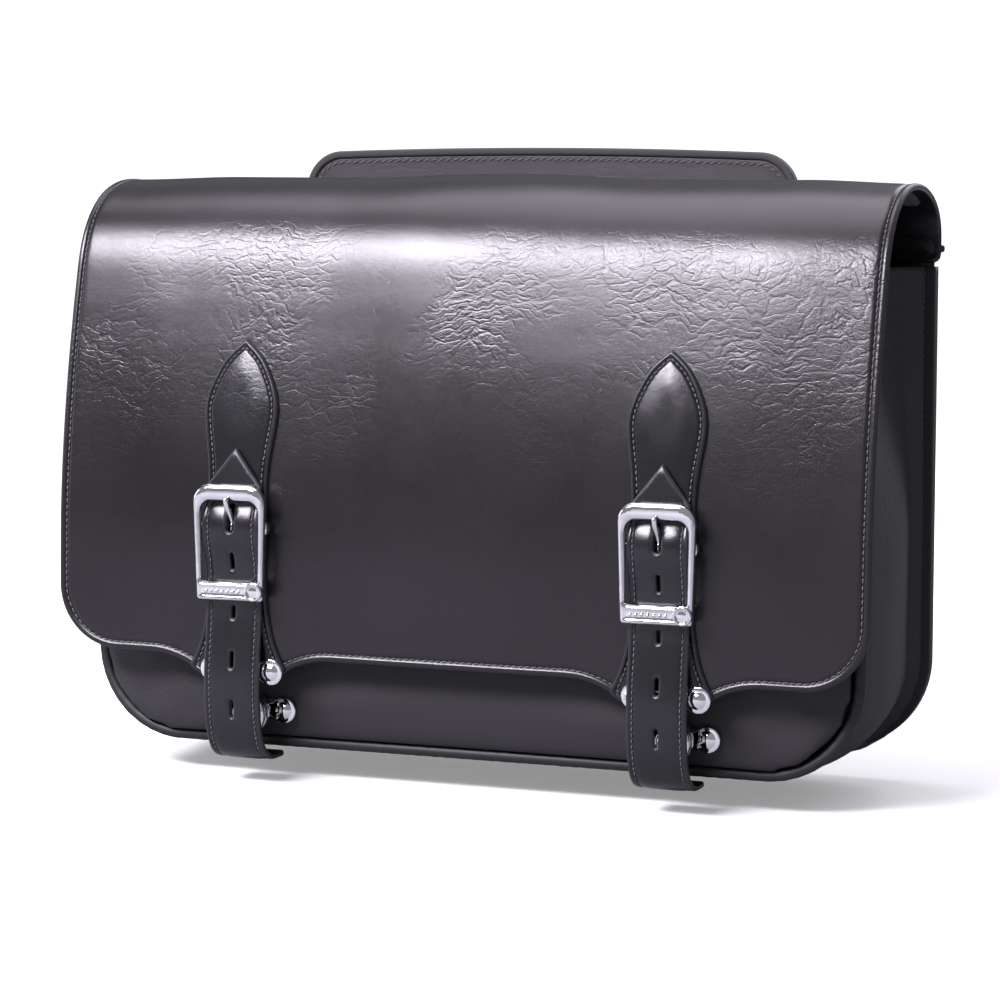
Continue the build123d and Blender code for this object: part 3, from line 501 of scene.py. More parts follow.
# ------------------------------------------------------------------ materials
def node_tools(name):
    """A new material and short ways to build its nodes."""
    material = bpy.data.materials.new(name)
    material.use_nodes = True
    tree_ = material.node_tree
    shader = tree_.nodes["Principled BSDF"]

    def add(kind, **values):
        node = tree_.nodes.new(kind)
        for key, value in values.items():
            if key.startswith("in_"):
                node.inputs[key[3:].replace("_", " ")].default_value = value
            else:
                setattr(node, key, value)
        return node

    def link(a, b):
        tree_.links.new(a, b)

    coords = add("ShaderNodeTexCoord")

    def mapped(scale=(1, 1, 1), rotation=(0, 0, 0)):
        m = add("ShaderNodeMapping")
        m.inputs["Scale"].default_value = scale
        m.inputs["Rotation"].default_value = rotation
        link(coords.outputs["Object"], m.inputs["Vector"])
        return m.outputs[0]

    def noise(scale, detail=3, rough=0.5, vector=None):
        n = add("ShaderNodeTexNoise", in_Scale=scale, in_Detail=detail, in_Roughness=rough)
        link(vector or coords.outputs["Object"], n.inputs["Vector"])
        return n.outputs[0]

    def voronoi(scale, vector=None):
        n = add("ShaderNodeTexVoronoi", feature="DISTANCE_TO_EDGE", in_Scale=scale)
        link(vector or coords.outputs["Object"], n.inputs["Vector"])
        return n.outputs["Distance"]

    def math_(operation, a, b=0.0, clamp=False):
        n = add("ShaderNodeMath", operation=operation, use_clamp=clamp)
        for socket, value in zip(n.inputs, (a, b)):
            if hasattr(value, "links"):
                link(value, socket)
            else:
                socket.default_value = value
        return n.outputs[0]

    def spread(value, low, high, to_low, to_high):
        n = add("ShaderNodeMapRange", in_From_Min=low, in_From_Max=high, in_To_Min=to_low,
                in_To_Max=to_high)
        link(value, n.inputs["Value"])
        return n.outputs[0]

    def mix_colour(factor, a, b):
        n = add("ShaderNodeMix", data_type="RGBA")
        for socket, value in ((n.inputs["Factor"], factor), (n.inputs[6], a), (n.inputs[7], b)):
            if hasattr(value, "links"):
                link(value, socket)
            else:
                socket.default_value = value
        return n.outputs[2]

    def bump(height, strength, size, normal=None):
        n = add("ShaderNodeBump", in_Strength=strength, in_Distance=size)
        link(height, n.inputs["Height"])
        if normal is not None:
            link(normal, n.inputs["Normal"])
        return n.outputs[0]

    def edge():
        return add("ShaderNodeAttribute", attribute_name="edge").outputs["Fac"]

    def mul(a, b):
        return math_("MULTIPLY", a, b)

    def plus(a, b):
        return math_("ADD", a, b)

    def give(**inputs):
        for key, value in inputs.items():
            socket = shader.inputs[key.replace("_", " ")]
            if hasattr(value, "links"):
                link(value, socket)
            else:
                socket.default_value = value
        return material

    return SimpleNamespace(mapped=mapped, noise=noise, voronoi=voronoi, math=math_, mul=mul, plus=plus,
                           give=give,
                           spread=spread, mix=mix_colour, bump=bump, edge=edge, add=add, link=link)


def leather(name, colour, roughness, grain=1.0, crease=0.0, edge_wear_and_highlight=0.5, channel=0.0, band=None):
    """Coated leather: pebbled grain with painted shade in its valleys, a network of fine creases, uneven
    polish, and edges painted lighter, partly as wear and partly as a painted highlight.
    Channel is the distance from the edge of the sewn groove, which gets painted shade, and band is the
    height range (in metres) where the creases are deepest."""
    k = node_tools(name)
    pebble = k.spread(k.voronoi(1250, vector=k.mapped((1, 1, 1.15))), 0.0, 0.28, 0.0, 1.0)
    broad, patchy = k.noise(11, 4, 0.55), k.noise(60, 3, 0.6)
    normal = k.bump(k.mul(k.plus(pebble, k.mul(k.noise(2600, 2, 0.6), 0.5)), grain), 0.16, 0.00012)
    normal = k.bump(patchy, 0.10, 0.0012, normal)
    if crease > 0:
        where = k.spread(k.noise(13, 4, 0.6), 0.42, 0.66, 0.04, 1.0)
        if band:
            place = k.add("ShaderNodeSeparateXYZ")
            k.link(k.mapped(), place.inputs[0])
            up = k.spread(place.outputs[2], band[0], band[1], 0.12, 1.0)
            down = k.spread(place.outputs[2], band[2], band[3], 1.0, 0.05)
            where = k.mul(where, k.mul(up, down))
        # two sizes of wrinkle: cells per metre, strength, depth in metres, and how far they are bent
        for size, strength, depth, warp in (((75, 90, 190), 0.26, 0.0006, 0.040),
                                            ((210, 230, 480), 0.20, 0.0003, 0.018)):
            bent = k.add("ShaderNodeVectorMath", operation="MULTIPLY_ADD")
            drift = k.add("ShaderNodeTexNoise", in_Scale=26.0, in_Detail=4, in_Roughness=0.6)
            k.link(k.mapped(), drift.inputs["Vector"])
            k.link(drift.outputs["Color"], bent.inputs[0])
            bent.inputs[1].default_value = (warp * 0.4, warp * 0.4, warp)
            k.link(k.mapped(), bent.inputs[2])
            stretch = k.add("ShaderNodeMapping", in_Scale=size)
            k.link(bent.outputs[0], stretch.inputs["Vector"])
            valley = k.spread(k.voronoi(1.0, vector=stretch.outputs[0]), 0.0, 0.14, 0.0, 1.0)
            valley.node.interpolation_type = "SMOOTHSTEP"
            normal = k.bump(k.mul(k.math("SUBTRACT", valley, 1.0), where), strength * crease, depth, normal)
    dark = tuple(c * 0.70 for c in colour[:3]) + (1,)
    light = tuple(min(1, c * 2.2 + 0.006) for c in colour[:3]) + (1,)
    shade = k.mix(k.spread(broad, 0.3, 0.7, 0.0, 1.0), dark, colour)
    # painted shade in the grain's valleys: darker between the pebbles, where the bump is lowest
    shade = k.mix(k.spread(pebble, 0.0, 0.5, 0.4, 0.0), shade, dark)
    near = k.edge()
    # painted shade: the sewn groove at this distance from the edge is darkened towards black
    if channel > 0:
        line = k.math("SUBTRACT", 1.0, k.math("ABSOLUTE", k.math("SUBTRACT", near, channel)), True)
        shade = k.mix(k.mul(line, 0.9), shade, (0.001, 0.001, 0.001, 1))
    # edges painted lighter: partly wear, partly a painted highlight along the rounded edge
    shade = k.mix(k.spread(near, 0.1, 1.4, edge_wear_and_highlight, 0.0), shade, light)
    polish = k.spread(k.plus(broad, k.mul(patchy, 0.5)), 0.4, 1.1, roughness - 0.03, roughness + 0.05)
    return k.give(Base_Color=shade, Roughness=k.plus(polish, k.spread(near, 0.1, 1.6, 0.32, 0.0)),
                  Normal=normal,
                  Specular_IOR_Level=0.55, Sheen_Weight=0.0)


def thread(name, colour):
    """Twisted waxed thread."""
    k = node_tools(name)
    twist = k.add("ShaderNodeTexWave", in_Scale=900, in_Distortion=1.5, wave_type="BANDS",
                  bands_direction="DIAGONAL")
    fuzz = k.noise(3000, 2)
    light = tuple(min(1, c * 2.2) for c in colour[:3]) + (1,)
    return k.give(Normal=k.bump(k.plus(twist.outputs[1], fuzz), 0.5, 0.0001),
                  Base_Color=k.mix(k.spread(fuzz, 0.35, 0.7, 0.0, 1.0), colour, light), Roughness=0.38)


def woven(name, colour):
    """Plain-woven lining."""
    k = node_tools(name)
    warp = k.add("ShaderNodeTexWave", in_Scale=450, bands_direction="X", in_Distortion=0.6)
    weft = k.add("ShaderNodeTexWave", in_Scale=450, bands_direction="Z", in_Distortion=0.6)
    weave = k.math("MAXIMUM", warp.outputs[1], weft.outputs[1])
    broad = k.noise(20, 3)
    light = tuple(min(1, c * 1.7) for c in colour[:3]) + (1,)
    shade = k.mix(k.mul(weave, k.spread(broad, 0.3, 0.7, 0.4, 0.9)), colour, light)
    return k.give(Normal=k.bump(k.plus(weave, k.mul(broad, 2.0)), 0.4, 0.00025), Base_Color=shade,
                  Roughness=0.85)


def plastic(name, colour, roughness=0.5, grain=700):
    """Moulded sheet or foam with a fine texture."""
    k = node_tools(name)
    speck, broad = k.noise(grain, 4, 0.65), k.noise(25, 3)
    dark = tuple(c * 0.7 for c in colour[:3]) + (1,)
    return k.give(Normal=k.bump(speck, 0.3, 0.0002),
                  Base_Color=k.mix(k.spread(broad, 0.3, 0.7, 0.0, 1.0), dark, colour),
                  Roughness=k.spread(speck, 0.3, 0.7, roughness - 0.08, roughness + 0.1))


def metal(name, colour, roughness=0.08, brushed=0.0):
    """Plated metal with faint handling marks and a little dulling in patches."""
    k = node_tools(name)
    haze = k.noise(60, 4, 0.6)
    scratch = k.noise(1.0, 4, 0.7, vector=k.mapped((2500, 900, 140), (0.3, 0.5, 0.2)))
    dark = tuple(c * 0.82 for c in colour[:3]) + (1,)
    polish = k.spread(k.plus(haze, k.mul(scratch, 0.4 + brushed)), 0.5, 1.2, roughness * 0.6,
                      roughness * 1.9 + 0.04)
    normal = k.bump(haze, 0.04, 0.0004, k.bump(scratch, 0.05 + brushed, 0.00004))
    return k.give(Roughness=polish, Normal=normal, Metallic=1.0,
                  Base_Color=k.mix(k.spread(haze, 0.35, 0.65, 0.0, 1.0), dark, colour))


FLAP_LEATHER = leather("flap_leather_look", (0.0074, 0.0060, 0.0080, 1), 0.28, crease=0.75, channel=HEM,
                       band=(-0.07, 0.0, 0.045, 0.068), edge_wear_and_highlight=0.3)
BAG_LEATHER = leather("bag_leather_look", (0.0078, 0.0070, 0.0086, 1), 0.32, crease=0.5)
# painted light: the bag's leather made about twice as light, standing in for the light the gusset catches
GUSSET_LEATHER_PAINTED_LIGHT = leather("gusset_leather_painted_light_look", (0.014, 0.013, 0.015, 1), 0.32, crease=0.6)
# painted light: the bag's leather made about twice as light, standing in for the light falling on the
# yoke's top
YOKE_LEATHER_PAINTED_LIGHT = leather("yoke_leather_painted_light_look", (0.015, 0.0135, 0.0165, 1), 0.40, crease=0.3)
PATCH_LEATHER = leather("patch_leather_look", (0.0065, 0.006, 0.0078, 1), 0.25, crease=0.3,
                        channel=PATCH_SEAM,
                        edge_wear_and_highlight=0.8)
STRAP_LEATHER = leather("strap_leather_look", (0.0085, 0.008, 0.010, 1), 0.25, grain=0.8, edge_wear_and_highlight=0.8)
BINDING = leather("binding_look", (0.009, 0.0085, 0.010, 1), 0.32, grain=0.7)
PIPING = leather("piping_look", (0.008, 0.0075, 0.009, 1), 0.24, grain=0.5, edge_wear_and_highlight=0.0)
THREAD = thread("thread_look", (0.060, 0.058, 0.062, 1))
LINING_CLOTH = woven("lining_look", (0.045, 0.045, 0.050, 1))
FOAM = plastic("foam_look", (0.03, 0.03, 0.032, 1), 0.8, 1500)
BOARD = plastic("board_look", (0.05, 0.05, 0.052, 1), 0.5)
CHROME = metal("chrome_look", (0.86, 0.86, 0.87, 1), 0.06)
ZINC = metal("zinc_look", (0.72, 0.72, 0.72, 1), 0.2, 0.05)


def paint(node, material):
    """A carried-over CAD node's own finish."""
    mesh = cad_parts[node].data
    mesh.materials.clear()
    mesh.materials.append(material)


def finish_piece(obj, body, slot, *nodes):
    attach(obj, body)
    if nodes:
        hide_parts(*nodes)
    return obj


# ------------------------------------------------------------------ flap
flap_low, flap_high = box("flap_cover")
rear_low = box("flap_rear")[0]
FLAP_HALF = flap_high[0]
flap_tree = tree("flap_cover", "flap_rear")
strap_boxes = {side: box(f"{side}_strap_upper") for side in SIDES}
STRAP_X = {side: (b[0][0] + b[1][0]) / 2 for side, b in strap_boxes.items()}
patch_boxes = {side: box(f"{side}_patch") for side in SIDES}
# half-width of a tab, and the run and radius of the curve from its side into the flap edge
TAB_HALF, TAB_SWEEP, TAB_RADIUS = 20.0, 29.0, 47.0
trace_x = STRAP_X["right"] - TAB_HALF + 4
profile_points = trace_profile(flap_tree, trace_x, np.array((-75.0, -40.0)), -64, 152)
profile_points = profile_points[::-1]
flap_side = Profile(profile_points, smooth=8)
# rear end: the strip's lower edge; front end: the tabs' lower edge
S_REAR = flap_side.find(rear_low[2], front=False)
S_TAB = flap_side.find(flap_low[2])
edge_hit = cast(flap_tree, (0, flap_low[1] + 1.5, -400), (0, 0, 1))
S_EDGE = S_TAB - (edge_hit[2] - flap_low[2])
FLAP_THICK = 3.0
CORNER = 32.0


def flap_outline():
    """Square at the back, rounded at the front, with a tab under each strap that sweeps into the edge."""
    path = [fillet_path([(-FLAP_HALF + 60, S_REAR), (-FLAP_HALF, S_REAR), (-FLAP_HALF, S_EDGE),
                         (-FLAP_HALF + 45, S_EDGE)],
                        [0, 4, CORNER, 0], 2.5, closed=False)]
    for side in SIDES:
        a = np.linspace(math.asin(TAB_SWEEP / TAB_RADIUS), 0, 14)
        arc = np.stack([TAB_HALF + TAB_SWEEP - TAB_RADIUS * np.sin(a),
                        S_EDGE + TAB_RADIUS * (1 - np.cos(a))], 1)
        half_tab = np.vstack([fillet_path([(0, arc[0, 1]), (TAB_HALF, arc[0, 1]), arc[1]], [0, 5, 0], 2.0,
                                          closed=False),
                              arc[2:]])
        path += [np.vstack([half_tab[::-1] * (-1, 1), half_tab[1:]]) + (STRAP_X[side], 0)]
    path += [fillet_path([(FLAP_HALF - 45, S_EDGE), (FLAP_HALF, S_EDGE), (FLAP_HALF, S_REAR),
                          (FLAP_HALF - 60, S_REAR)],
                         [0, CORNER, 4, 0], 2.5, closed=False)]
    out = []
    for a, b in zip(path, path[1:] + path[:1]):
        gap = np.linalg.norm(b[0] - a[-1])
        count = max(1, int(gap / 2.5))
        out += [a, a[-1] + (b[0] - a[-1]) * (np.arange(1, count) / count)[:, None]]
    return np.vstack(out)


def wave(x, y, seed):
    """Smooth unevenness between -1 and 1, the same every run."""
    total = 0
    local = np.random.default_rng(seed)
    for _ in range(7):
        kx, ky, phase = local.uniform(0.012, 0.05), local.uniform(0.012, 0.045), local.uniform(0, 6.28)
        sx = local.choice((-1, 1))
        total = total + np.sin(kx * x * sx + ky * y + phase)
    return total / 4.0


def crown(x, s):
    """The flap's soft fullness between and outside the straps."""
    front = smoothstep((s - 60) / 120) * (1 - smoothstep((s - (S_EDGE - 60)) / 60) * 0.7)
    middle = 1 - smoothstep((abs(x) - 15) / 65)
    ends = smoothstep((abs(x) - 150) / 60)
    seat = smoothstep((abs(abs(x) - STRAP_X["right"]) - 24) / 26)
    return front * (2.4 * middle - 1.6 * ends) + seat * (0.45 * wave(x, s, 3)) * front


def flap_lift(x, s, n):
    y, z = flap_side.at(s, n - FLAP_THICK + crown(x, s))
    return np.stack([x, y, z], 1)


def flap_front(e, x, s):
    puff = 0.35 * smoothstep(e / 2.2) * (1 - smoothstep((e - 2.2) / 1.6))
    return FLAP_THICK / 2 + FLAP_THICK / 2 * rounding(e, 1.4) + groove(e, HEM, 0.7, 0.8) + puff


def flap_back(e, x, s):
    return FLAP_THICK / 2 - FLAP_THICK / 2 * rounding(e, 1.4)


outline = flap_outline()
flap = sheet("flap_skin", [outline], flap_lift, flap_front, flap_back, FLAP_LEATHER,
             rings=(0.25, 0.7, 1.4, 2.3, 3.1, 3.6, 4.0, 4.4, 4.9, 6.5, 9), spacing=5.0)
flap_thread = stitches("flap_stitches", [seam_line(outline, HEM)], flap_lift, [FLAP_THICK - 0.55], THREAD,
                       3.3, 2.6, 0.40)
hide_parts("flap_cover", "flap_rear")

# the flap's inside: a lining with its padding, quilted down by the hem
LINING_EDGE = 7.0
lining_outline = fillet_path([(-FLAP_HALF + LINING_EDGE, S_REAR + 42),
                              (-FLAP_HALF + LINING_EDGE, S_EDGE - 16),
                              (FLAP_HALF - LINING_EDGE, S_EDGE - 16),
                              (FLAP_HALF - LINING_EDGE, S_REAR + 42)],
                             [3, 26, 26, 3], 4)


def flap_lining_back(e, x, s):
    return -1.4 - 1.0 * smoothstep(e / 6) + 0.25 * wave(x * 2, s * 2, 5)


flap_inside = sheet("flap_lining_cloth", [lining_outline], flap_lift, lambda e, x, s: -0.3 + 0 * e,
                    flap_lining_back,
                    LINING_CLOTH, rings=(1,), spacing=12, back_rings=(0.8, 2, 4, 6), back_spacing=7)
finish_piece(flap_inside, "flap", "lining_fabric", "flap_lining", "flap_padding")

# ------------------------------------------------------------------ patches, straps, buckles
strap_tree = {s: tree(f"{s}_strap_upper", f"{s}_strap_tail") for s in SIDES}
PATCH = 2.2


def patch_shape(side):
    low, high = patch_boxes[side]
    s_top = flap_side.find(high[2])
    s_low = flap_side.find(low[2])
    span = s_low - s_top
    full = (high[0] - low[0]) / 2
    half = spline([(0, 0), (6.0, 5.0), (10.7, 10.2), (15.4, 18.6), (18.6, 27.0), (19.8, 34.0), (19.4, 42.0),
                   (17.9, 52.0), (16.6, 62.0), (16.0, 74.0), (15.9, span * 0.56), (16.0, span * 0.74),
                   (18.6, span * 0.86), (23.0, span * 0.935), (full, span - 5.5)], 1.6)
    tail = fillet_path([(full, span - 5.5), (full - 1.0, span - 3.4), (TAB_HALF - 1.5, span), (0, span)],
                       [0, 1.6, 3.0, 0], 2.0, closed=False)
    path = mirror(np.vstack([half, tail[1:]]))
    return path + (0, s_top)


for side in SIDES:
    at = STRAP_X[side]
    shape = patch_shape(side)
    top_s = shape[:, 1].min()

    def patch_lift(u, v, n, at=at):
        y, z = flap_side.at(v, n)
        return np.stack([u + at, y, z], 1)

    def patch_front(e, u, v, top_s=top_s):
        lobe = 1.3 * smoothstep((e - 4.2) / 9) * (1 - smoothstep((v - top_s - 45) / 30))
        return (-0.4 + (PATCH + 0.4) * (0.15 + 0.85 * rounding(e, 1.1)) + groove(e, PATCH_SEAM, 0.7, 0.9)
                + 0.3 * smoothstep(e / 1.6) * (1 - smoothstep((e - 1.7) / 1.3)) + lobe)

    patch = sheet(f"{side}_patch_skin", [shape], patch_lift, patch_front, lambda e, u, v: -0.4 + 0.0 * e,
                  PATCH_LEATHER, rings=(0.2, 0.5, 1.0, 1.7, 2.4, 2.9, 3.2, 3.5, 4.0, 5.2), spacing=3.2,
                  back_rings=(2,), back_spacing=8)
    finish_piece(patch, "flap", "patch_leather", f"{side}_patch")
    sewn = stitches(f"{side}_patch_stitches", [seam_line(shape, PATCH_SEAM)], patch_lift, [PATCH - 0.5],
                    THREAD, 2.9, 2.1, 0.40)
    finish_piece(sewn, "flap", "patch_leather")

STRAP = 3.0
STRAP_POINT = 19.5
TRACE_OFFSET = 2.8
for side in SIDES:
    at = STRAP_X[side]
    low, high = strap_boxes[side]
    half = (high[0] - low[0]) / 2
    outer = trace_profile(strap_tree[side], at + TRACE_OFFSET, np.array((-118.0, -145.0)), -88, 77)
    outer = outer[::-1]
    # beside the middle the point is already cut away, so the line is drawn on up to it
    outer = outer[np.argmax(outer[:, 1] < outer[:, 1].max() - 3.0):]
    rise = outer[0] - outer[12]
    outer = np.vstack([outer[0] + rise * (high[2] + 2 - outer[0][1]) / rise[1], outer])
    strap_side = Profile(outer, smooth=10)
    # where the strap's outer face ends underneath, and where it starts at the pointed tip
    s_tip = strap_side.find(high[2], front=False)
    s_end = strap_side.length
    # slits and the prong's slot, found as the places where a ray down the middle goes through
    gaps, open_from = [], None
    for s in np.arange(s_tip + 3, s_end - 4, 0.5):
        y, z = strap_side.at(s, 4.0)
        y1, z1 = strap_side.at(s, -6.0)
        aim = np.array((0, y1 - y, z1 - z))
        reach = np.linalg.norm(aim)
        hit = strap_tree[side].ray_cast(Vector((at, y, z)), Vector(aim / reach), reach)[0]
        if hit is None and open_from is None:
            open_from = s
        if hit is not None and open_from is not None:
            if s - open_from > 3:
                gaps.append((open_from, s))
            open_from = None

    def strap_lift(u, v, n, at=at, strap_side=strap_side):
        y, z = strap_side.at(v, n)
        return np.stack([u + at, y, z], 1)

    shape = fillet_path([(0, s_tip), (half, s_tip + STRAP_POINT), (half, s_end), (-half, s_end),
                         (-half, s_tip + STRAP_POINT)],
                        [0.8, 3.0, 1.5, 1.5, 3.0], 2.0)
    holes = []
    for start, end in gaps:
        wide = 1.9 if end - start > 10.5 else 0.85
        holes.append(fillet_path([(-wide, start), (wide, start), (wide, end), (-wide, end)],
                                 [wide * 0.95] * 4, 0.7))

    def strap_front(e, u, v, half=half):
        rim = np.minimum(half - abs(u), 12)
        body_ = -STRAP / 2 + STRAP / 2 * rounding(e, 1.2)
        pillow = 0.35 * smoothstep((rim - 3.4) / 5)
        return body_ + groove(rim, STRAP_SEAM, 0.6,
                              0.6) * smoothstep((e - 1) / 1.5) + pillow * smoothstep(e / 2.5)

    def strap_back(e, u, v):
        return -STRAP / 2 - STRAP / 2 * rounding(e, 1.2)

    strap = sheet(f"{side}_strap", [shape, *holes], strap_lift, strap_front, strap_back, STRAP_LEATHER,
                  rings=(0.2, 0.6, 1.2, 1.9, 2.5, 2.9, 3.2, 3.6, 4.3), spacing=2.6, back_rings=(0.3, 1.0),
                  back_spacing=5)
    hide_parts(f"{side}_strap_upper", f"{side}_strap_tail")
    strap_thread = stitches(f"{side}_strap_stitches", [seam_line(shape, STRAP_SEAM)], strap_lift, [-0.40],
                            THREAD, 2.9, 2.2, 0.36)
    for piece in (strap, strap_thread):
        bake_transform(piece)

for piece in (flap, flap_thread):
    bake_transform(piece)

# buckles: a cushion-shaped frame with a beaded keeper bar, a heel bar behind and a prong
for side in SIDES:
    at = STRAP_X[side]
    low, high = box(f"{side}_buckle_frame")
    prong_low, prong_high = box(f"{side}_prong")
    half = (high[0] - low[0]) / 2
    top, bottom = high[2], low[2]
    front_y = -low[1]
    frame_back = front_y - 5.0 - 0.6
    foot = half - 1.8
    frame_path = fillet_path([(-half, top), (-foot, bottom), (foot, bottom), (half, top)],
                             [9.5, 2, 2, 9.5], 0.9)
    window = fillet_path([(-15.5, top - 8.4), (-15.0, bottom + 9.4), (15.0, bottom + 9.4),
                          (15.5, top - 8.4)],
                         [5.5, 1.2, 1.2, 5.5], 0.9)
    panel_low, panel_high = bottom + 1.9, bottom + 7.6
    panel_left, panel_right = -foot + 2.0, foot - 7.0
    beads_at = (-2.5 - 1.2, bottom + 4.7)
    boss_at = (foot - 4.6, bottom + 5.3)

    def buckle_front(e, u, v, top=top, bottom=bottom,
                     panel=(panel_left, panel_right, panel_low, panel_high)):
        crest = 2.5 + 2.6 * rounding(e, 2.6) + 0.5 * smoothstep((v - (top - 9)) / 4)
        into = np.minimum(np.minimum(u - panel[0], panel[1] - u), np.minimum(v - panel[2], panel[3] - v))
        return crest - 0.9 * smoothstep((into + 0.1) / 0.7)

    def buckle_back(e, u, v):
        return 2.5 - 2.3 * rounding(e, 2.2)

    buckle = sheet(f"{side}_buckle_body", [frame_path, window], upright(-frame_back, at), buckle_front,
                   buckle_back,
                   CHROME,
                   rings=(0.12, 0.35, 0.7, 1.2, 1.7, 2.3), spacing=0.9, back_rings=(0.3, 0.9, 1.7),
                   back_spacing=2.0)
    extras = []
    for k in range(7):
        extras.append(lathe("bead", (at + beads_at[0] + (k - 3) * 2.9, beads_at[1]),
                            [(r, frame_back + 4.0 + h) for r, h in
                             ((0.01, 1.3), (0.45, 1.2), (0.8, 0.95), (1.05, 0.5), (1.1, 0.0), (1.1, -1))],
                             CHROME, 14))
    extras.append(lathe("boss", (at + boss_at[0], boss_at[1]),
                        [(r, frame_back + 4.2 + h) for r, h in
                         ((0.01, 1.0), (2.2, 1.0), (2.9, 0.75), (3.1, 1.1), (3.4, 1.55), (4.0, 1.7),
                          (4.5, 1.5),
                          (4.8, 1.0), (4.9, 0.2), (4.9, -2.5), (0.01, -2.5))], CHROME, 40))
    # the heel bar and its lugs
    heel_z = prong_low[2] + 2.9
    heel_y = -(prong_high[1] - 2.9)
    for sign in (-1, 1):
        cx = at + sign * (half - 2.0)
        rows = []
        for d, g in ((frame_back + 1.5, 1.0), (frame_back - 0.6, 1.0), (heel_y - 0.6, 0.95),
                     (heel_y - 1.5, 0.6)):
            rows.append([(cx + 1.5 * g * math.cos(t), -d, heel_z + 3.4 * g * math.sin(t))
                         for t in turn(20)])
        extras.append(grid_object("lug", rows, CHROME, closed_v=True, caps=True))
    bar = [(at + x, -heel_y, heel_z) for x in np.linspace(-(half - 2.2), half - 2.2, 8)]
    extras.append(sweep("bar", bar, circle((0, 0), 1.6, 16), CHROME))
    buckle = join(f"{side}_buckle", [buckle, *extras])
    finish_piece(buckle, "flap", "chrome", f"{side}_buckle_frame")

    # prong: a ring round the heel bar, drawn out to a blunt tip over the top bar
    ring_path = [(at, -(heel_y + 2.25 * math.cos(t)), heel_z + 2.25 * math.sin(t))
                 for t in turn(26)]
    loop_ = sweep("loop", ring_path, [(1.55 * math.cos(t), 0.62 * math.sin(t))
                                      for t in turn(14)],
                  CHROME, closed=True, up=(1, 0, 0))
    tip_y, tip_z = -prong_low[1] - 1.7, prong_high[2]
    shank = spline([(heel_y + 1.6, heel_z + 1.6), (heel_y + 4.0, heel_z + 5.6),
                    (tip_y - 2.0, heel_z + 10.2),
                    (tip_y - 0.5, heel_z + 12.8), (tip_y, tip_z - 0.5)], 0.7)
    path = [(at, -d, h) for d, h in shank]
    girth = 1.0 - 0.28 * np.linspace(0, 1, len(path)) ** 2
    girth[-1] *= 0.45
    girth[-2] *= 0.85
    pin = sweep("pin", path, [(1.6 * math.cos(t), 1.45 * math.sin(t))
                              for t in turn(18)], CHROME,
                              up=(0, -1, 0), scale=girth)
    prong = join(f"{side}_prong_pin", [loop_, pin])
    finish_piece(prong, f"{side}_prong", "chrome", f"{side}_prong")

    # chape: a doubled strip that wraps the heel bar, split for the prong
    halves = []
    for x0, x1 in ((-13, -2.05), (2.05, 13)):
        loop_path = [(heel_y - 3.4, heel_z - 8.5), (heel_y - 3.0, heel_z - 4.5)]
        loop_path += [(heel_y + 2.4 * math.cos(t),
                       heel_z + 2.4 * math.sin(t)) for t in np.linspace(-2.2, 2.2, 16)]
        loop_path += [(heel_y - 3.0, heel_z + 4.5), (heel_y - 3.4, heel_z + 8.5)]
        loop_path = spline(loop_path, 0.8)
        path = [(at + (x0 + x1) / 2, -d, h) for d, h in loop_path]
        wide = (x1 - x0) / 2
        section = fillet_path([(-wide, -0.5), (wide, -0.5), (wide, 0.5), (-wide, 0.5)], [0.4] * 4, 3)
        halves.append(sweep("half", path, section[:, ::-1], PATCH_LEATHER, up=(1, 0, 0)))
    chape = join(f"{side}_chape_strip", halves)
    finish_piece(chape, "flap", "patch_leather", f"{side}_chape")


# ------------------------------------------------------------------ clasps
EAR_RADIUS = 6.5


def ear_outline(ear_x, radius, waist):
    """Plate with a round ear at each end and a narrower middle."""
    pts = []
    reach = math.asin(min(1, waist / radius))
    for sign in (1, -1):
        a = np.linspace(-math.pi + reach, math.pi - reach, 30)
        arc = np.stack([sign * (ear_x + radius * np.cos(a)), sign * radius * np.sin(a)], 1)
        pts.append(arc)
    return np.vstack(pts)


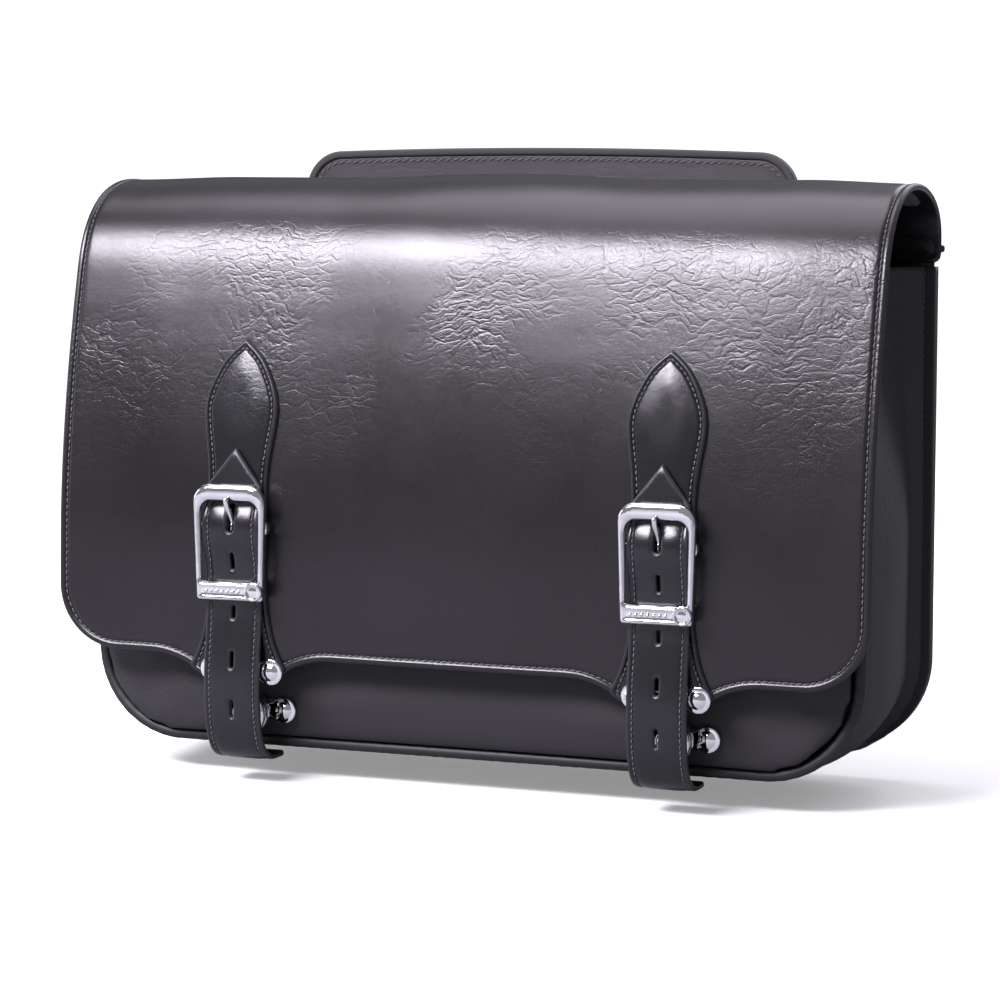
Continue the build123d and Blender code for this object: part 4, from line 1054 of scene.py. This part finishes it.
for side in SIDES:
    low, high = box(f"{side}_hasp")
    base_low, base_high = box(f"{side}_clasp_base")
    button_low, button_high = box(f"{side}_button")
    clasp_z = (button_low[2] + button_high[2]) / 2
    at = (button_low[0] + button_high[0]) / 2
    ear_x = (high[0] - low[0]) / 2 - EAR_RADIUS
    ear_z = high[2] - EAR_RADIUS
    plate_front = -low[1]

    plate = sheet("plate", [ear_outline(ear_x, EAR_RADIUS, 4.5)], upright(1.5 - plate_front, at, ear_z),
                  *slab(0.75, 0.7), CHROME, rings=(0.15, 0.4, 0.8), spacing=2.5, back_rings=(0.4,),
                  back_spacing=4)
    neck_rows = []
    for z in np.linspace(ear_z - 3, clasp_z + 8, 8):
        section = fillet_path([(-6, -0.75), (6, -0.75), (6, 0.75), (-6, 0.75)], [0.5] * 4, 3)
        sink = 0.35 * smoothstep((ear_z - 8 - z) / 5)
        neck_rows.append([(at + x, -(plate_front - 0.75 - sink + d), z) for x, d in section])
    neck = grid_object("neck", neck_rows, CHROME, closed_v=True, caps=True)
    disc_back, disc_front = -high[1], -high[1] + 9.5
    disc = lathe("disc", (at, clasp_z),
                 [(4.62, disc_front - 1.8), (4.62, disc_front - 0.4), (4.9, disc_front),
                  (6.2, disc_front + 0.15),
                  (9.6, disc_front - 0.05), (10.7, disc_front - 0.5), (11.15, disc_front - 1.3),
                  (11.25, disc_front - 2.4), (11.25, disc_front - 3.2), (10.6, disc_front - 3.7),
                  (10.6, disc_front - 4.6), (11.1, disc_front - 5.2), (11.1, disc_back + 0.6),
                  (10.8, disc_back + 0.1),
                  (10.2, disc_back), (9.8, disc_back + 0.3), (9.7, disc_back + 5.9), (2.6, disc_back + 5.9),
                  (2.6, disc_front - 1.8)], CHROME, 64)
    # the bore for the button is open at both ends, so the turned shape has no caps
    bm = bmesh.new()
    bm.from_mesh(disc.data)
    bmesh.ops.delete(bm, geom=[f for f in bm.faces if len(f.verts) > 4], context="FACES_ONLY")
    rims = [e for e in bm.edges if e.is_boundary]
    bmesh.ops.bridge_loops(bm, edges=rims)
    bmesh.ops.recalc_face_normals(bm, faces=bm.faces)
    bm.to_mesh(disc.data)
    bm.free()
    finish_piece(join(f"{side}_hasp_metal", [plate, neck, disc]), "flap", "chrome", f"{side}_hasp")

    b_front = -button_low[1]
    button = lathe(f"{side}_button_cap", (at, clasp_z),
                   [(0.01, b_front), (2.0, b_front - 0.08), (3.4, b_front - 0.45), (4.2, b_front - 1.1),
                    (4.5, b_front - 1.9), (4.5, b_front - 2.5), (2.5, b_front - 2.55),
                    (2.5, -button_high[1] + 1.0),
                    (3.4, -button_high[1] + 0.9), (3.4, -button_high[1]), (0.01, -button_high[1])],
                    CHROME, 40)
    finish_piece(button, f"{side}_button", "chrome", f"{side}_button")

    base_back = -base_high[1]
    base_ear = (base_high[0] - base_low[0]) / 2 - EAR_RADIUS

    base = sheet("base", [ear_outline(base_ear, EAR_RADIUS, 5.2)], upright(-base_back, at, clasp_z),
                 *slab(0.75, 0.7), CHROME, rings=(0.15, 0.4, 0.8), spacing=2.5, back_rings=(0.4,),
                 back_spacing=4)
    post_end = -base_low[1]
    post = lathe("post", (at, clasp_z),
                 [(0.01, post_end), (4.5, post_end - 0.1), (6.4, post_end - 0.6), (7.3, post_end - 1.6),
                  (7.5, post_end - 2.6), (6.9, post_end - 4.0), (6.9, base_back + 2.4),
                  (8.2, base_back + 1.5),
                  (8.4, base_back + 0.3), (0.01, base_back)], CHROME, 48)
    finish_piece(join(f"{side}_clasp_post", [base, post]), "bag", "chrome", f"{side}_clasp_base")


def rivets(name, node, body, count_x):
    """Domed rivet heads with a small shoulder, their shanks and clinched washers."""
    low, high = box(node)
    z = (low[2] + high[2]) / 2
    front, back = -low[1], -high[1]
    heads = []
    for side in SIDES:
        for sign in (-1, 1):
            hasp_low, hasp_high = box(f"{side}_hasp")
            at = ((hasp_low[0] + hasp_high[0]) / 2 + sign * count_x, z)
            heads.append(lathe("head", at,
                               [(0.01, front), (1.4, front - 0.10), (2.6, front - 0.42),
                                (3.5, front - 0.95),
                                (4.05, front - 1.5), (4.4, front - 1.62), (4.4, front - 1.85),
                                (1.6, front - 1.9),
                                (1.6, back + 1.0), (3.0, back + 0.9), (3.2, back + 0.3), (2.6, back),
                                (0.01, back + 0.2)], CHROME, 36))
    finish_piece(join(name, heads), body, "chrome", node)


for plate_node, name, node, body in (("right_hasp", "hasp_rivet_heads", "hasp_rivets", "flap"),
                                     ("right_clasp_base", "base_rivet_heads", "clasp_base_rivets", "bag")):
    plate_low, plate_high = box(plate_node)
    rivets(name, node, body, (plate_high[0] - plate_low[0]) / 2 - EAR_RADIUS)

# ------------------------------------------------------------------ body of the bag
pipe_low, pipe_high = box("front_piping")
gusset_high = box("gusset")[1]
back_low, back_high = box("back_panel")
PIPE = 3.0
BODY_HALF = pipe_high[0] - PIPE
BODY_CORNER = 45.0
seam_low_z = pipe_low[2] + PIPE
seam_top_z = pipe_high[2]
seam_low_y = pipe_low[1] + PIPE
seam_top_y = pipe_high[1] - PIPE
lean = (seam_top_y - seam_low_y) / (seam_top_z - seam_low_z)


def seam_y(z):
    return seam_low_y + (z - seam_low_z) * lean


def u_path(half, low, top, corner, step=3.0):
    """Down the left side, round both lower corners and up the right side, in (x, z)."""
    return fillet_path([(-half, top), (-half, low), (half, low), (half, top)], [0, corner, corner, 0],
                       step, closed=False)


# piping: a covered cord, slightly irregular where it is gathered round the corners
pipe_xz = u_path(BODY_HALF, seam_low_z, seam_top_z - 0.5, BODY_CORNER, 2.0)
pipe_path = np.stack([pipe_xz[:, 0], seam_y(pipe_xz[:, 1]), pipe_xz[:, 1]], 1)
cord = PIPE * (1 + 0.02 * np.sin(np.arange(len(pipe_path)) * 1.7) + 0.012
               * rng.standard_normal(len(pipe_path)))
piping = sweep("front_piping_cord", pipe_path, circle((0, 0), 1.0, 16), PIPING, up=(0, 1, 0), scale=cord)
finish_piece(piping, "bag", "piping", "front_piping")


def u_normal(path):
    step = np.gradient(path, axis=0)
    step /= np.linalg.norm(step, axis=1)[:, None]
    return np.stack([step[:, 1], -step[:, 0]], 1)


# gusset: turned out at the back, full in the middle, drawn in at the front seam
wall = u_path(BODY_HALF - 0.6, seam_low_z - 0.4, gusset_high[2], BODY_CORNER, 3.0)
wall_out = u_normal(wall)
run = np.r_[0, np.cumsum(np.hypot(*np.diff(wall, axis=0).T))]
corner_mid = (wall[:, 1] < seam_low_z + BODY_CORNER) & (abs(wall[:, 0]) > BODY_HALF - BODY_CORNER)
flange_y = -(-gusset_high[1] + 1.2)


def pinch(path):
    """How far the sides fold in towards the mouth, where nothing holds them out."""
    sides_only = smoothstep((abs(path[:, 0]) - BODY_HALF + 12) / 10)
    return 13.0 * smoothstep((path[:, 1] - gusset_high[2] + 135) / 120) * sides_only


rows = []
across = np.linspace(0, 1, 30)
for w in across:
    start_y = flange_y
    y = start_y + (seam_y(wall[:, 1]) + 2.2 - start_y) * w
    low_down = smoothstep((gusset_high[2] - wall[:, 1]) / 170)
    flare = 8.2 * (1 - smoothstep(w / 0.085))
    middle = np.sin(math.pi * np.clip((w - 0.03) / 0.97, 0, 1))
    full = (1.0 + 4.2 * low_down) * middle ** 0.9 - pinch(wall) * middle ** 0.6
    tuck = -1.2 * smoothstep((w - 0.90) / 0.1)
    gather = 0.45 * np.sin(run * 0.52 + 3 * np.sin(run * 0.03)) * np.where(corner_mid, 1.0, 0.15) * (
        np.exp(-((w - 1.0) / 0.16) ** 2) + 0.6 * np.exp(-((w - 0.06) / 0.10) ** 2))
    sag = 0.5 * wave(run * 1.3, w * 160 + 0 * run, 8) * math.sin(math.pi * w)
    offset = flare + full + tuck + gather + sag
    rows.append(np.stack([wall[:, 0] + wall_out[:, 0] * offset, y, wall[:, 1] + wall_out[:, 1] * offset],
                         1))
gusset = grid_object("gusset_skin", rows, GUSSET_LEATHER_PAINTED_LIGHT)
thick = gusset.modifiers.new("thickness", "SOLIDIFY")
thick.thickness = 2.0 * MM
thick.offset = -1
finish_piece(gusset, "bag", "gusset_leather", "gusset")


# front panel: padded, blown up a little by a cloth simulation and held at its seam
def panel_solid():
    flat = u_path(BODY_HALF - 1.6, seam_low_z + 0.8, seam_top_z, BODY_CORNER - 1, 5.0)
    layers = ((0.0, 0.6), (0.0, 3.0), (1.2, 6.8), (4.0, 9.2), (9.0, 10.2), (20, 10.6))
    lean_out = np.array((0, -1.0, -lean)) / math.hypot(1, lean)
    verts_, counts = [], len(flat)
    centre = np.array((0, (seam_top_z + seam_low_z) / 2))
    for inset, height in layers:
        k = 1 - inset / np.maximum(np.linalg.norm(flat - centre, axis=1), 1)
        moved = centre + (flat - centre) * k[:, None]
        moved[:, 1] = np.where(flat[:, 1] > seam_top_z - 1, seam_top_z, moved[:, 1])
        point = np.stack([moved[:, 0], seam_y(moved[:, 1]), moved[:, 1]], 1)
        verts_.append(point + lean_out * height)
    rows_ = np.array(verts_)
    faces_ = []
    for i in range(len(layers) - 1):
        for j in range(counts):
            faces_.append((i * counts + j, i * counts + (j + 1) % counts,
                           (i + 1) * counts + (j + 1) % counts, (i + 1) * counts + j))
    faces_.append(tuple(range(counts)))
    faces_.append(tuple((len(layers) - 1) * counts + j for j in range(counts))[::-1])
    return face_out(new_object("front_panel_pad", rows_.reshape(-1, 3), faces_, BAG_LEATHER))


def apply_modifiers(obj):
    graph = bpy.context.evaluated_depsgraph_get()
    baked = bpy.data.meshes.new_from_object(obj.evaluated_get(graph))
    obj.modifiers.clear()
    obj.data = baked
    return obj


PANEL_VOXEL, PANEL_BULGE, SEWN_WITHIN, CLOTH_FRAMES = 4.0, 2.6, 4.5, 20
panel = panel_solid()
remesh = panel.modifiers.new("remesh", "REMESH")
remesh.mode = "VOXEL"
remesh.voxel_size = PANEL_VOXEL * MM
apply_modifiers(panel)
rest_co = np.array([v.co for v in panel.data.vertices])
seam_dist = np.array([abs(c[1] / MM - seam_y(c[2] / MM)) for c in rest_co])
pin_group = panel.vertex_groups.new(name="sewn")
for i, gap in enumerate(seam_dist):
    pin_group.add([i], 1.0 if gap < SEWN_WITHIN else 0.0, "REPLACE")
cloth = panel.modifiers.new("cloth", "CLOTH")
cloth.settings.quality = 5
cloth.settings.mass = 0.4
cloth.settings.tension_stiffness = 18
cloth.settings.compression_stiffness = 18
cloth.settings.bending_stiffness = 2.5
cloth.settings.use_pressure = True
cloth.settings.uniform_pressure_force = 4.0
cloth.settings.vertex_group_mass = "sewn"
cloth.settings.effector_weights.gravity = 0
cloth.point_cache.frame_start, cloth.point_cache.frame_end = 1, CLOTH_FRAMES
for step in range(1, CLOTH_FRAMES + 1):
    bpy.context.scene.frame_set(step)
apply_modifiers(panel)
moved_co = np.array([v.co for v in panel.data.vertices])
bpy.context.scene.frame_set(1)
shift = moved_co - rest_co
size = np.linalg.norm(shift, axis=1)
cap = PANEL_BULGE * MM
shift *= (np.minimum(size, cap) / np.maximum(size, 1e-9))[:, None]
panel.data.vertices.foreach_set("co", (rest_co + shift).ravel())
panel.data.update()
soft = panel.modifiers.new("soft", "CORRECTIVE_SMOOTH")
soft.iterations = 6
soft.use_only_smooth = True
fine_ = panel.modifiers.new("subdivision", "SUBSURF")
fine_.levels = fine_.render_levels = 1
apply_modifiers(panel)
panel.data.polygons.foreach_set("use_smooth", [True] * len(panel.data.polygons))
panel.data.materials.clear()
panel.data.materials.append(BAG_LEATHER)
finish_piece(panel, "bag", "bag_leather", "front_panel")

# tape along the top of the front panel, round the mouth
bind_low, bind_high = box("mouth_binding")
bind_path = [(x, (bind_low[1] + bind_high[1]) / 2 - 0.3, bind_high[2] - 3.2)
             for x in np.linspace(bind_low[0], bind_high[0], 40)]
bind_section = fillet_path([(-3.4, -6), (3.4, -6), (3.4, 3.2), (-3.4, 3.2)], [0.8, 0.8, 2.8, 2.8], 1.0)
binding_mouth = sweep("mouth_tape", bind_path, bind_section, BINDING)
finish_piece(binding_mouth, "bag", "edge_binding", "mouth_binding")

# back panel, with the binding that closes its rim
BACK_HALF = back_high[0]
BACK_CORNER, RIM_SEAM = 46, 3.9
back_rear = -back_high[1]
EYELET_FLANGE = 8.0
eyelet_high = box("mount_eyelets")[1]
ex, ez = eyelet_high[0] - EYELET_FLANGE, eyelet_high[2] - EYELET_FLANGE
hole_places = [(sx * ex, sz * ez) for sx in (-1, 1) for sz in (-1, 1)]
back_outline = fillet_path([(-BACK_HALF, back_high[2]), (-BACK_HALF, back_low[2]), (BACK_HALF, back_low[2]),
                            (BACK_HALF, back_high[2])], [5, BACK_CORNER, BACK_CORNER, 5], 4.0)


def back_rear_side(e, u, v):
    return 1.25 - 1.25 * rounding(e, 1.2) - 0.35 * wave(u * 1.2, v * 1.2, 21) * smoothstep((e - 8) / 20)


back = sheet("back_skin", [back_outline, *[circle(p, 4.6, 20) for p in hole_places]], upright(-back_rear),
             lambda e, u, v: 1.25 + 1.25 * rounding(e, 1.2), back_rear_side, BAG_LEATHER,
             rings=(0.5, 1.2), spacing=14, back_rings=(0.4, 1.2, 3, 5), back_spacing=7)
finish_piece(back, "bag", "bag_leather", "back_panel")

rim_low, rim_high = box("back_binding")
rim_xz = u_path(BACK_HALF - 2.2, back_low[2] + 2.2, rim_high[2], 44, 2.5)
rim_path = np.stack([rim_xz[:, 0], np.full(len(rim_xz), (rim_low[1] + rim_high[1]) / 2), rim_xz[:, 1]], 1)
depth = (rim_high[1] - rim_low[1]) / 2
rim_section = fillet_path([(-3.8, -depth), (3.4, -depth), (3.4, depth), (-3.8, depth)],
                          [0.8, 2.6, 2.6, 0.8], 0.8)
rim = sweep("back_rim_tape", rim_path, rim_section, BINDING, up=(0, 1, 0))
finish_piece(rim, "bag", "edge_binding", "back_binding")
rim_line = u_path(BACK_HALF - RIM_SEAM, back_low[2] + RIM_SEAM, rim_high[2] - 2, 42.5, 3.0)
for name, lift in (("rim_stitches_rear", upright(rim_high[1], side=1)),
                   ("rim_stitches_front", upright(rim_low[1]))):
    finish_piece(stitches(name, [rim_line], lift, [-0.1], THREAD), "bag", "edge_binding")

# lining of the pocket: a slightly slack bag inside the body
lining_low, lining_high = box("lining")
loop_xz = u_path(lining_high[0], lining_low[2], lining_high[2], 38, 7.0)
out_ = u_normal(loop_xz)
lining_rows = []
back_y, slack, LINING_SPACE = lining_high[1] - 0.6, 1.2, 5.0


def lining_ring(inset, y_of):
    pts = loop_xz - out_ * inset[:, None]
    return np.stack([pts[:, 0], y_of(pts[:, 1]), pts[:, 1]], 1)


run_l = np.arange(len(loop_xz)) * 7.0
for w in np.linspace(0, 1, 12):
    wobble = slack + slack * wave(run_l, w * 150 + 0 * run_l, 31) * math.sin(math.pi * w)
    wobble = wobble + 1.08 * pinch(loop_xz + (4.0 * np.sign(loop_xz[:, :1])
                                              * (1, 0))) * math.sin(math.pi * w) ** 0.55
    lining_rows.append(lining_ring(wobble, lambda z, w=w: back_y + (seam_y(z) + LINING_SPACE - back_y) * w))
lining_wall = grid_object("lining_wall", lining_rows, LINING_CLOTH)


def lining_face(name, y_of, seed):
    path = fillet_path([(-lining_high[0] + 1, lining_high[2]), (-lining_high[0] + 1, lining_low[2] + 1),
                        (lining_high[0] - 1, lining_low[2] + 1), (lining_high[0] - 1, lining_high[2])],
                       [0, 38, 38, 0], 7.0)
    free = surface_points([path], (3,), 10)
    points, faces = triangulate([path], free)
    e = distance(points, [path])
    y = y_of(points[:, 1]) + 0.8 * wave(points[:, 0], points[:, 1], seed) * smoothstep(e / 25)
    return new_object(name, np.stack([points[:, 0], y, points[:, 1]], 1), faces, LINING_CLOTH)


lining_back = lining_face("lining_back", lambda z: back_y + 0 * z, 41)
lining_front = lining_face("lining_front", lambda z: seam_y(z) + LINING_SPACE, 43)
pocket_lining = join("pocket_lining", [lining_wall, lining_back, lining_front])
thick = pocket_lining.modifiers.new("thickness", "SOLIDIFY")
thick.thickness = 0.7 * MM
finish_piece(pocket_lining, "bag", "lining_fabric", "lining")

# ------------------------------------------------------------------ yoke
yoke_low, yoke_high = box("yoke_binding")
YOKE_HALF = yoke_high[0]
YOKE_THICK, YOKE_CORNER, YOKE_SEAM = 5.9, 20, 5.6


def yoke_path(inset, step=3.0):
    shoulder = yoke_high[2] - 2.0
    base = fillet_path([(YOKE_HALF, yoke_low[2]), (-YOKE_HALF, yoke_low[2]), (-YOKE_HALF, shoulder),
                        (YOKE_HALF, shoulder)],
                       [YOKE_CORNER] * 4, step)
    top_part = (abs(base[:, 0]) < YOKE_HALF - YOKE_CORNER - 0.5) & (base[:, 1] > shoulder - 0.5)
    base[top_part, 1] += 2.0 * (1 - (base[top_part, 0] / (YOKE_HALF - YOKE_CORNER)) ** 2)
    return ring(base, inset) if inset else base


def yoke_front(e, u, v):
    soft_ = 0.5 * smoothstep((e - 4) / 12)
    return YOKE_THICK / 2 + (YOKE_THICK / 2) * rounding(e, 2.4) + soft_


yoke_holes = [circle(p, 4.55, 20) for p in hole_places]
yoke = sheet("yoke_skin", [yoke_path(1.0), *yoke_holes], upright(0), yoke_front,
             slab(YOKE_THICK / 2, 2.4)[1], YOKE_LEATHER_PAINTED_LIGHT,
             rings=(0.4, 1.2, 2.4, 4, 7, 11), spacing=8, back_rings=(0.4, 1.2, 2.4), back_spacing=10)
finish_piece(yoke, "bag", "yoke_leather", "yoke_cover")
edge_xz = yoke_path(1.9, 2.0)
edge_path = np.stack([edge_xz[:, 0], np.full(len(edge_xz), -(YOKE_THICK + 1.0) / 2), edge_xz[:, 1]], 1)
edge_section = fillet_path([(-1.9, -3.5), (2.3, -3.6), (2.3, 3.4), (-1.9, 3.0)], [1.6, 0.7, 0.9, 1.6], 0.8)
yoke_edge = sweep("yoke_tape", edge_path, edge_section, BINDING, closed=True, up=(0, 1, 0))
finish_piece(yoke_edge, "bag", "edge_binding", "yoke_binding")
yoke_line = seam_line(yoke_path(0), YOKE_SEAM)
finish_piece(stitches("yoke_stitches", [yoke_line], upright(0), [YOKE_THICK - 0.05], THREAD, 4.0, 3.2,
                      0.42, 0.45),
             "bag", "yoke_leather")
finish_piece(stitches("yoke_stitches_rear", [yoke_line], upright(0, side=1), [-0.05],
                      THREAD,
                      4.0, 3.2, 0.42, 0.45), "bag", "yoke_leather")

# stand-off pad between yoke and back panel
pad_low, pad_high = box("standoff_pad")
pad_outline = fillet_path([(pad_low[0], pad_high[2]), (pad_low[0], pad_low[2]), (pad_high[0], pad_low[2]),
                           (pad_high[0], pad_high[2])], [12] * 4, 4)
pad_depth = pad_high[1] - pad_low[1]
pad = sheet("standoff_foam", [pad_outline], upright(pad_high[1]), *slab(pad_depth / 2, 4.5), FOAM,
            rings=(0.4, 1.5, 3, 5), spacing=12, back_rings=(0.4, 1.5, 3, 5), back_spacing=12)
finish_piece(pad, "bag", "foam_rubber", "standoff_pad")

# welt cord under the flap's rear edge
welt_low, welt_high = box("flap_welt")
welt_y, welt_z = (welt_low[1] + welt_high[1]) / 2, (welt_low[2] + welt_high[2]) / 2
WELT_RADIUS, WELT_POINTS = 2.55, 140
welt_path = [(x, welt_y - 0.35, welt_z) for x in np.linspace(welt_low[0], welt_high[0], WELT_POINTS)]
cord = WELT_RADIUS * (1 + 0.03 * np.sin(np.arange(WELT_POINTS) * 1.3) + 0.02
                      * rng.standard_normal(WELT_POINTS))
cord[0] *= 0.6
cord[-1] *= 0.6
welt = sweep("flap_welt_cord", welt_path, circle((0, 0), 1.0, 14), PIPING, scale=cord)
finish_piece(welt, "bag", "piping", "flap_welt")

# ------------------------------------------------------------------ carried-over nodes
paint("mount_eyelets", ZINC)
for node in ("yoke_plate", "back_board", "bottom_board", "flap_board"):
    paint(node, BOARD)
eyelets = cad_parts["mount_eyelets"]
weld = eyelets.modifiers.new("weld", "WELD")
weld.merge_threshold = 0.00001
bevel = eyelets.modifiers.new("bevel", "BEVEL")
bevel.width = 0.35 * MM
bevel.segments = 3
bevel.limit_method = "ANGLE"

# ------------------------------------------------------------------ stage, light and camera
centre = (cad_low + cad_high) / 2
FLOOR_DROP = 0.012
floor_z = cad_low.z - FLOOR_DROP


def backdrop():
    """A pale floor that curves up into a wall behind."""
    depth_ = np.linspace(-5, 5, 60)
    rows_ = []
    for d in depth_:
        up_ = 0 if d < 2.2 else 1.6 * (1 - math.cos(min((d - 2.2) / 1.6, math.pi / 2))) + max(0,
                                                                                              d - 4.7) * 1.5
        rows_.append([(x / MM, d / MM, (floor_z + up_) / MM) for x in np.linspace(-6, 6, 8)])
    k = node_tools("floor_look")
    tone = k.mix(k.spread(k.noise(3, 2), 0.3, 0.7, 0.0, 1.0), (0.90, 0.90, 0.90, 1), (0.93, 0.93, 0.93, 1))
    # the glossy leather meets a darker floor than the camera does
    seen = k.add("ShaderNodeLightPath").outputs["Is Camera Ray"]
    far = k.add("ShaderNodeSeparateXYZ")
    k.link(k.mapped(), far.inputs[0])
    glow = k.mul(k.spread(far.outputs[1], 0.1, 2.5, 0.30, 0.85), seen)
    look = k.give(Base_Color=k.mix(seen, (0.30, 0.30, 0.32, 1), tone), Roughness=0.9, Emission_Color=tone,
                  Emission_Strength=glow)
    return grid_object("floor", rows_, look)


floor = backdrop()
floor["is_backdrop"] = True

world = bpy.data.worlds.new("studio")
bpy.context.scene.world = world
world.use_nodes = True
sky = world.node_tree
for node in list(sky.nodes):
    sky.nodes.remove(node)
ray = sky.nodes.new("ShaderNodeLightPath")
seen, felt = sky.nodes.new("ShaderNodeBackground"), sky.nodes.new("ShaderNodeBackground")
seen.inputs[0].default_value, seen.inputs[1].default_value = (1, 1, 1, 1), 1.0
felt.inputs[0].default_value, felt.inputs[1].default_value = (0.94, 0.95, 1, 1), 0.30
choose, sky_out = sky.nodes.new("ShaderNodeMixShader"), sky.nodes.new("ShaderNodeOutputWorld")
sky.links.new(ray.outputs["Is Camera Ray"], choose.inputs[0])
sky.links.new(felt.outputs[0], choose.inputs[1])
sky.links.new(seen.outputs[0], choose.inputs[2])
sky.links.new(choose.outputs[0], sky_out.inputs[0])


LIGHT_TINT = (1.0, 0.95, 1.06)


def area_light(name, place, target, size, power, size_y=None):
    light = bpy.data.lights.new(name, "AREA")
    light.energy = power
    light.color = LIGHT_TINT
    light.size = size
    light.shape = "RECTANGLE"
    light.size_y = size_y or size
    obj = bpy.data.objects.new(name, light)
    obj.location = Vector(place)
    obj.rotation_euler = (Vector(target) - Vector(place)).to_track_quat("-Z", "Y").to_euler()
    bpy.context.scene.collection.objects.link(obj)
    return obj


area_light("key", centre + Vector((-0.56, -1.12, 1.06)), centre + Vector((0, 0, 0.05)), 1.10, 62, 0.45)
area_light("low", centre + Vector((0.3, -1.6, -0.55)), centre + Vector((0, 0, -0.12)), 1.6, 11, 0.35)
area_light("top", centre + Vector((-0.2, 0.2, 1.6)), centre, 1.3, 16)
area_light("left", centre + Vector((-1.7, -0.3, 0.2)), centre, 0.7, 6, 1.2)
area_light("right", centre + Vector((1.5, -0.55, -0.42)), centre + Vector((0.2, 0, -0.12)), 0.7, 26, 0.35)
area_light("rear", centre + Vector((0.5, 1.6, 0.9)), centre, 1.2, 14)

CAMERA_AZIMUTH, CAMERA_RISE, CAMERA_DISTANCE, FOCAL_LENGTH = 21.0, 6.54, 1.547, 117.25
AIM = centre + Vector((0.0302, -0.0696, -0.0142))
azimuth, rise = math.radians(CAMERA_AZIMUTH), math.radians(CAMERA_RISE)
away = Vector((math.sin(azimuth) * math.cos(rise), -math.cos(azimuth) * math.cos(rise), math.sin(rise)))
lens = bpy.data.cameras.new("camera")
lens.lens = FOCAL_LENGTH
lens.sensor_width = 36
lens.clip_start, lens.clip_end = 0.05, 30
camera = bpy.data.objects.new("camera", lens)
camera.location = AIM + away * CAMERA_DISTANCE
camera.rotation_mode = "QUATERNION"
camera.rotation_quaternion = (-away).to_track_quat("-Z", "Y")
bpy.context.scene.collection.objects.link(camera)
bpy.context.scene.camera = camera
bpy.context.scene.view_settings.view_transform = "Standard"

low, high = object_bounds()
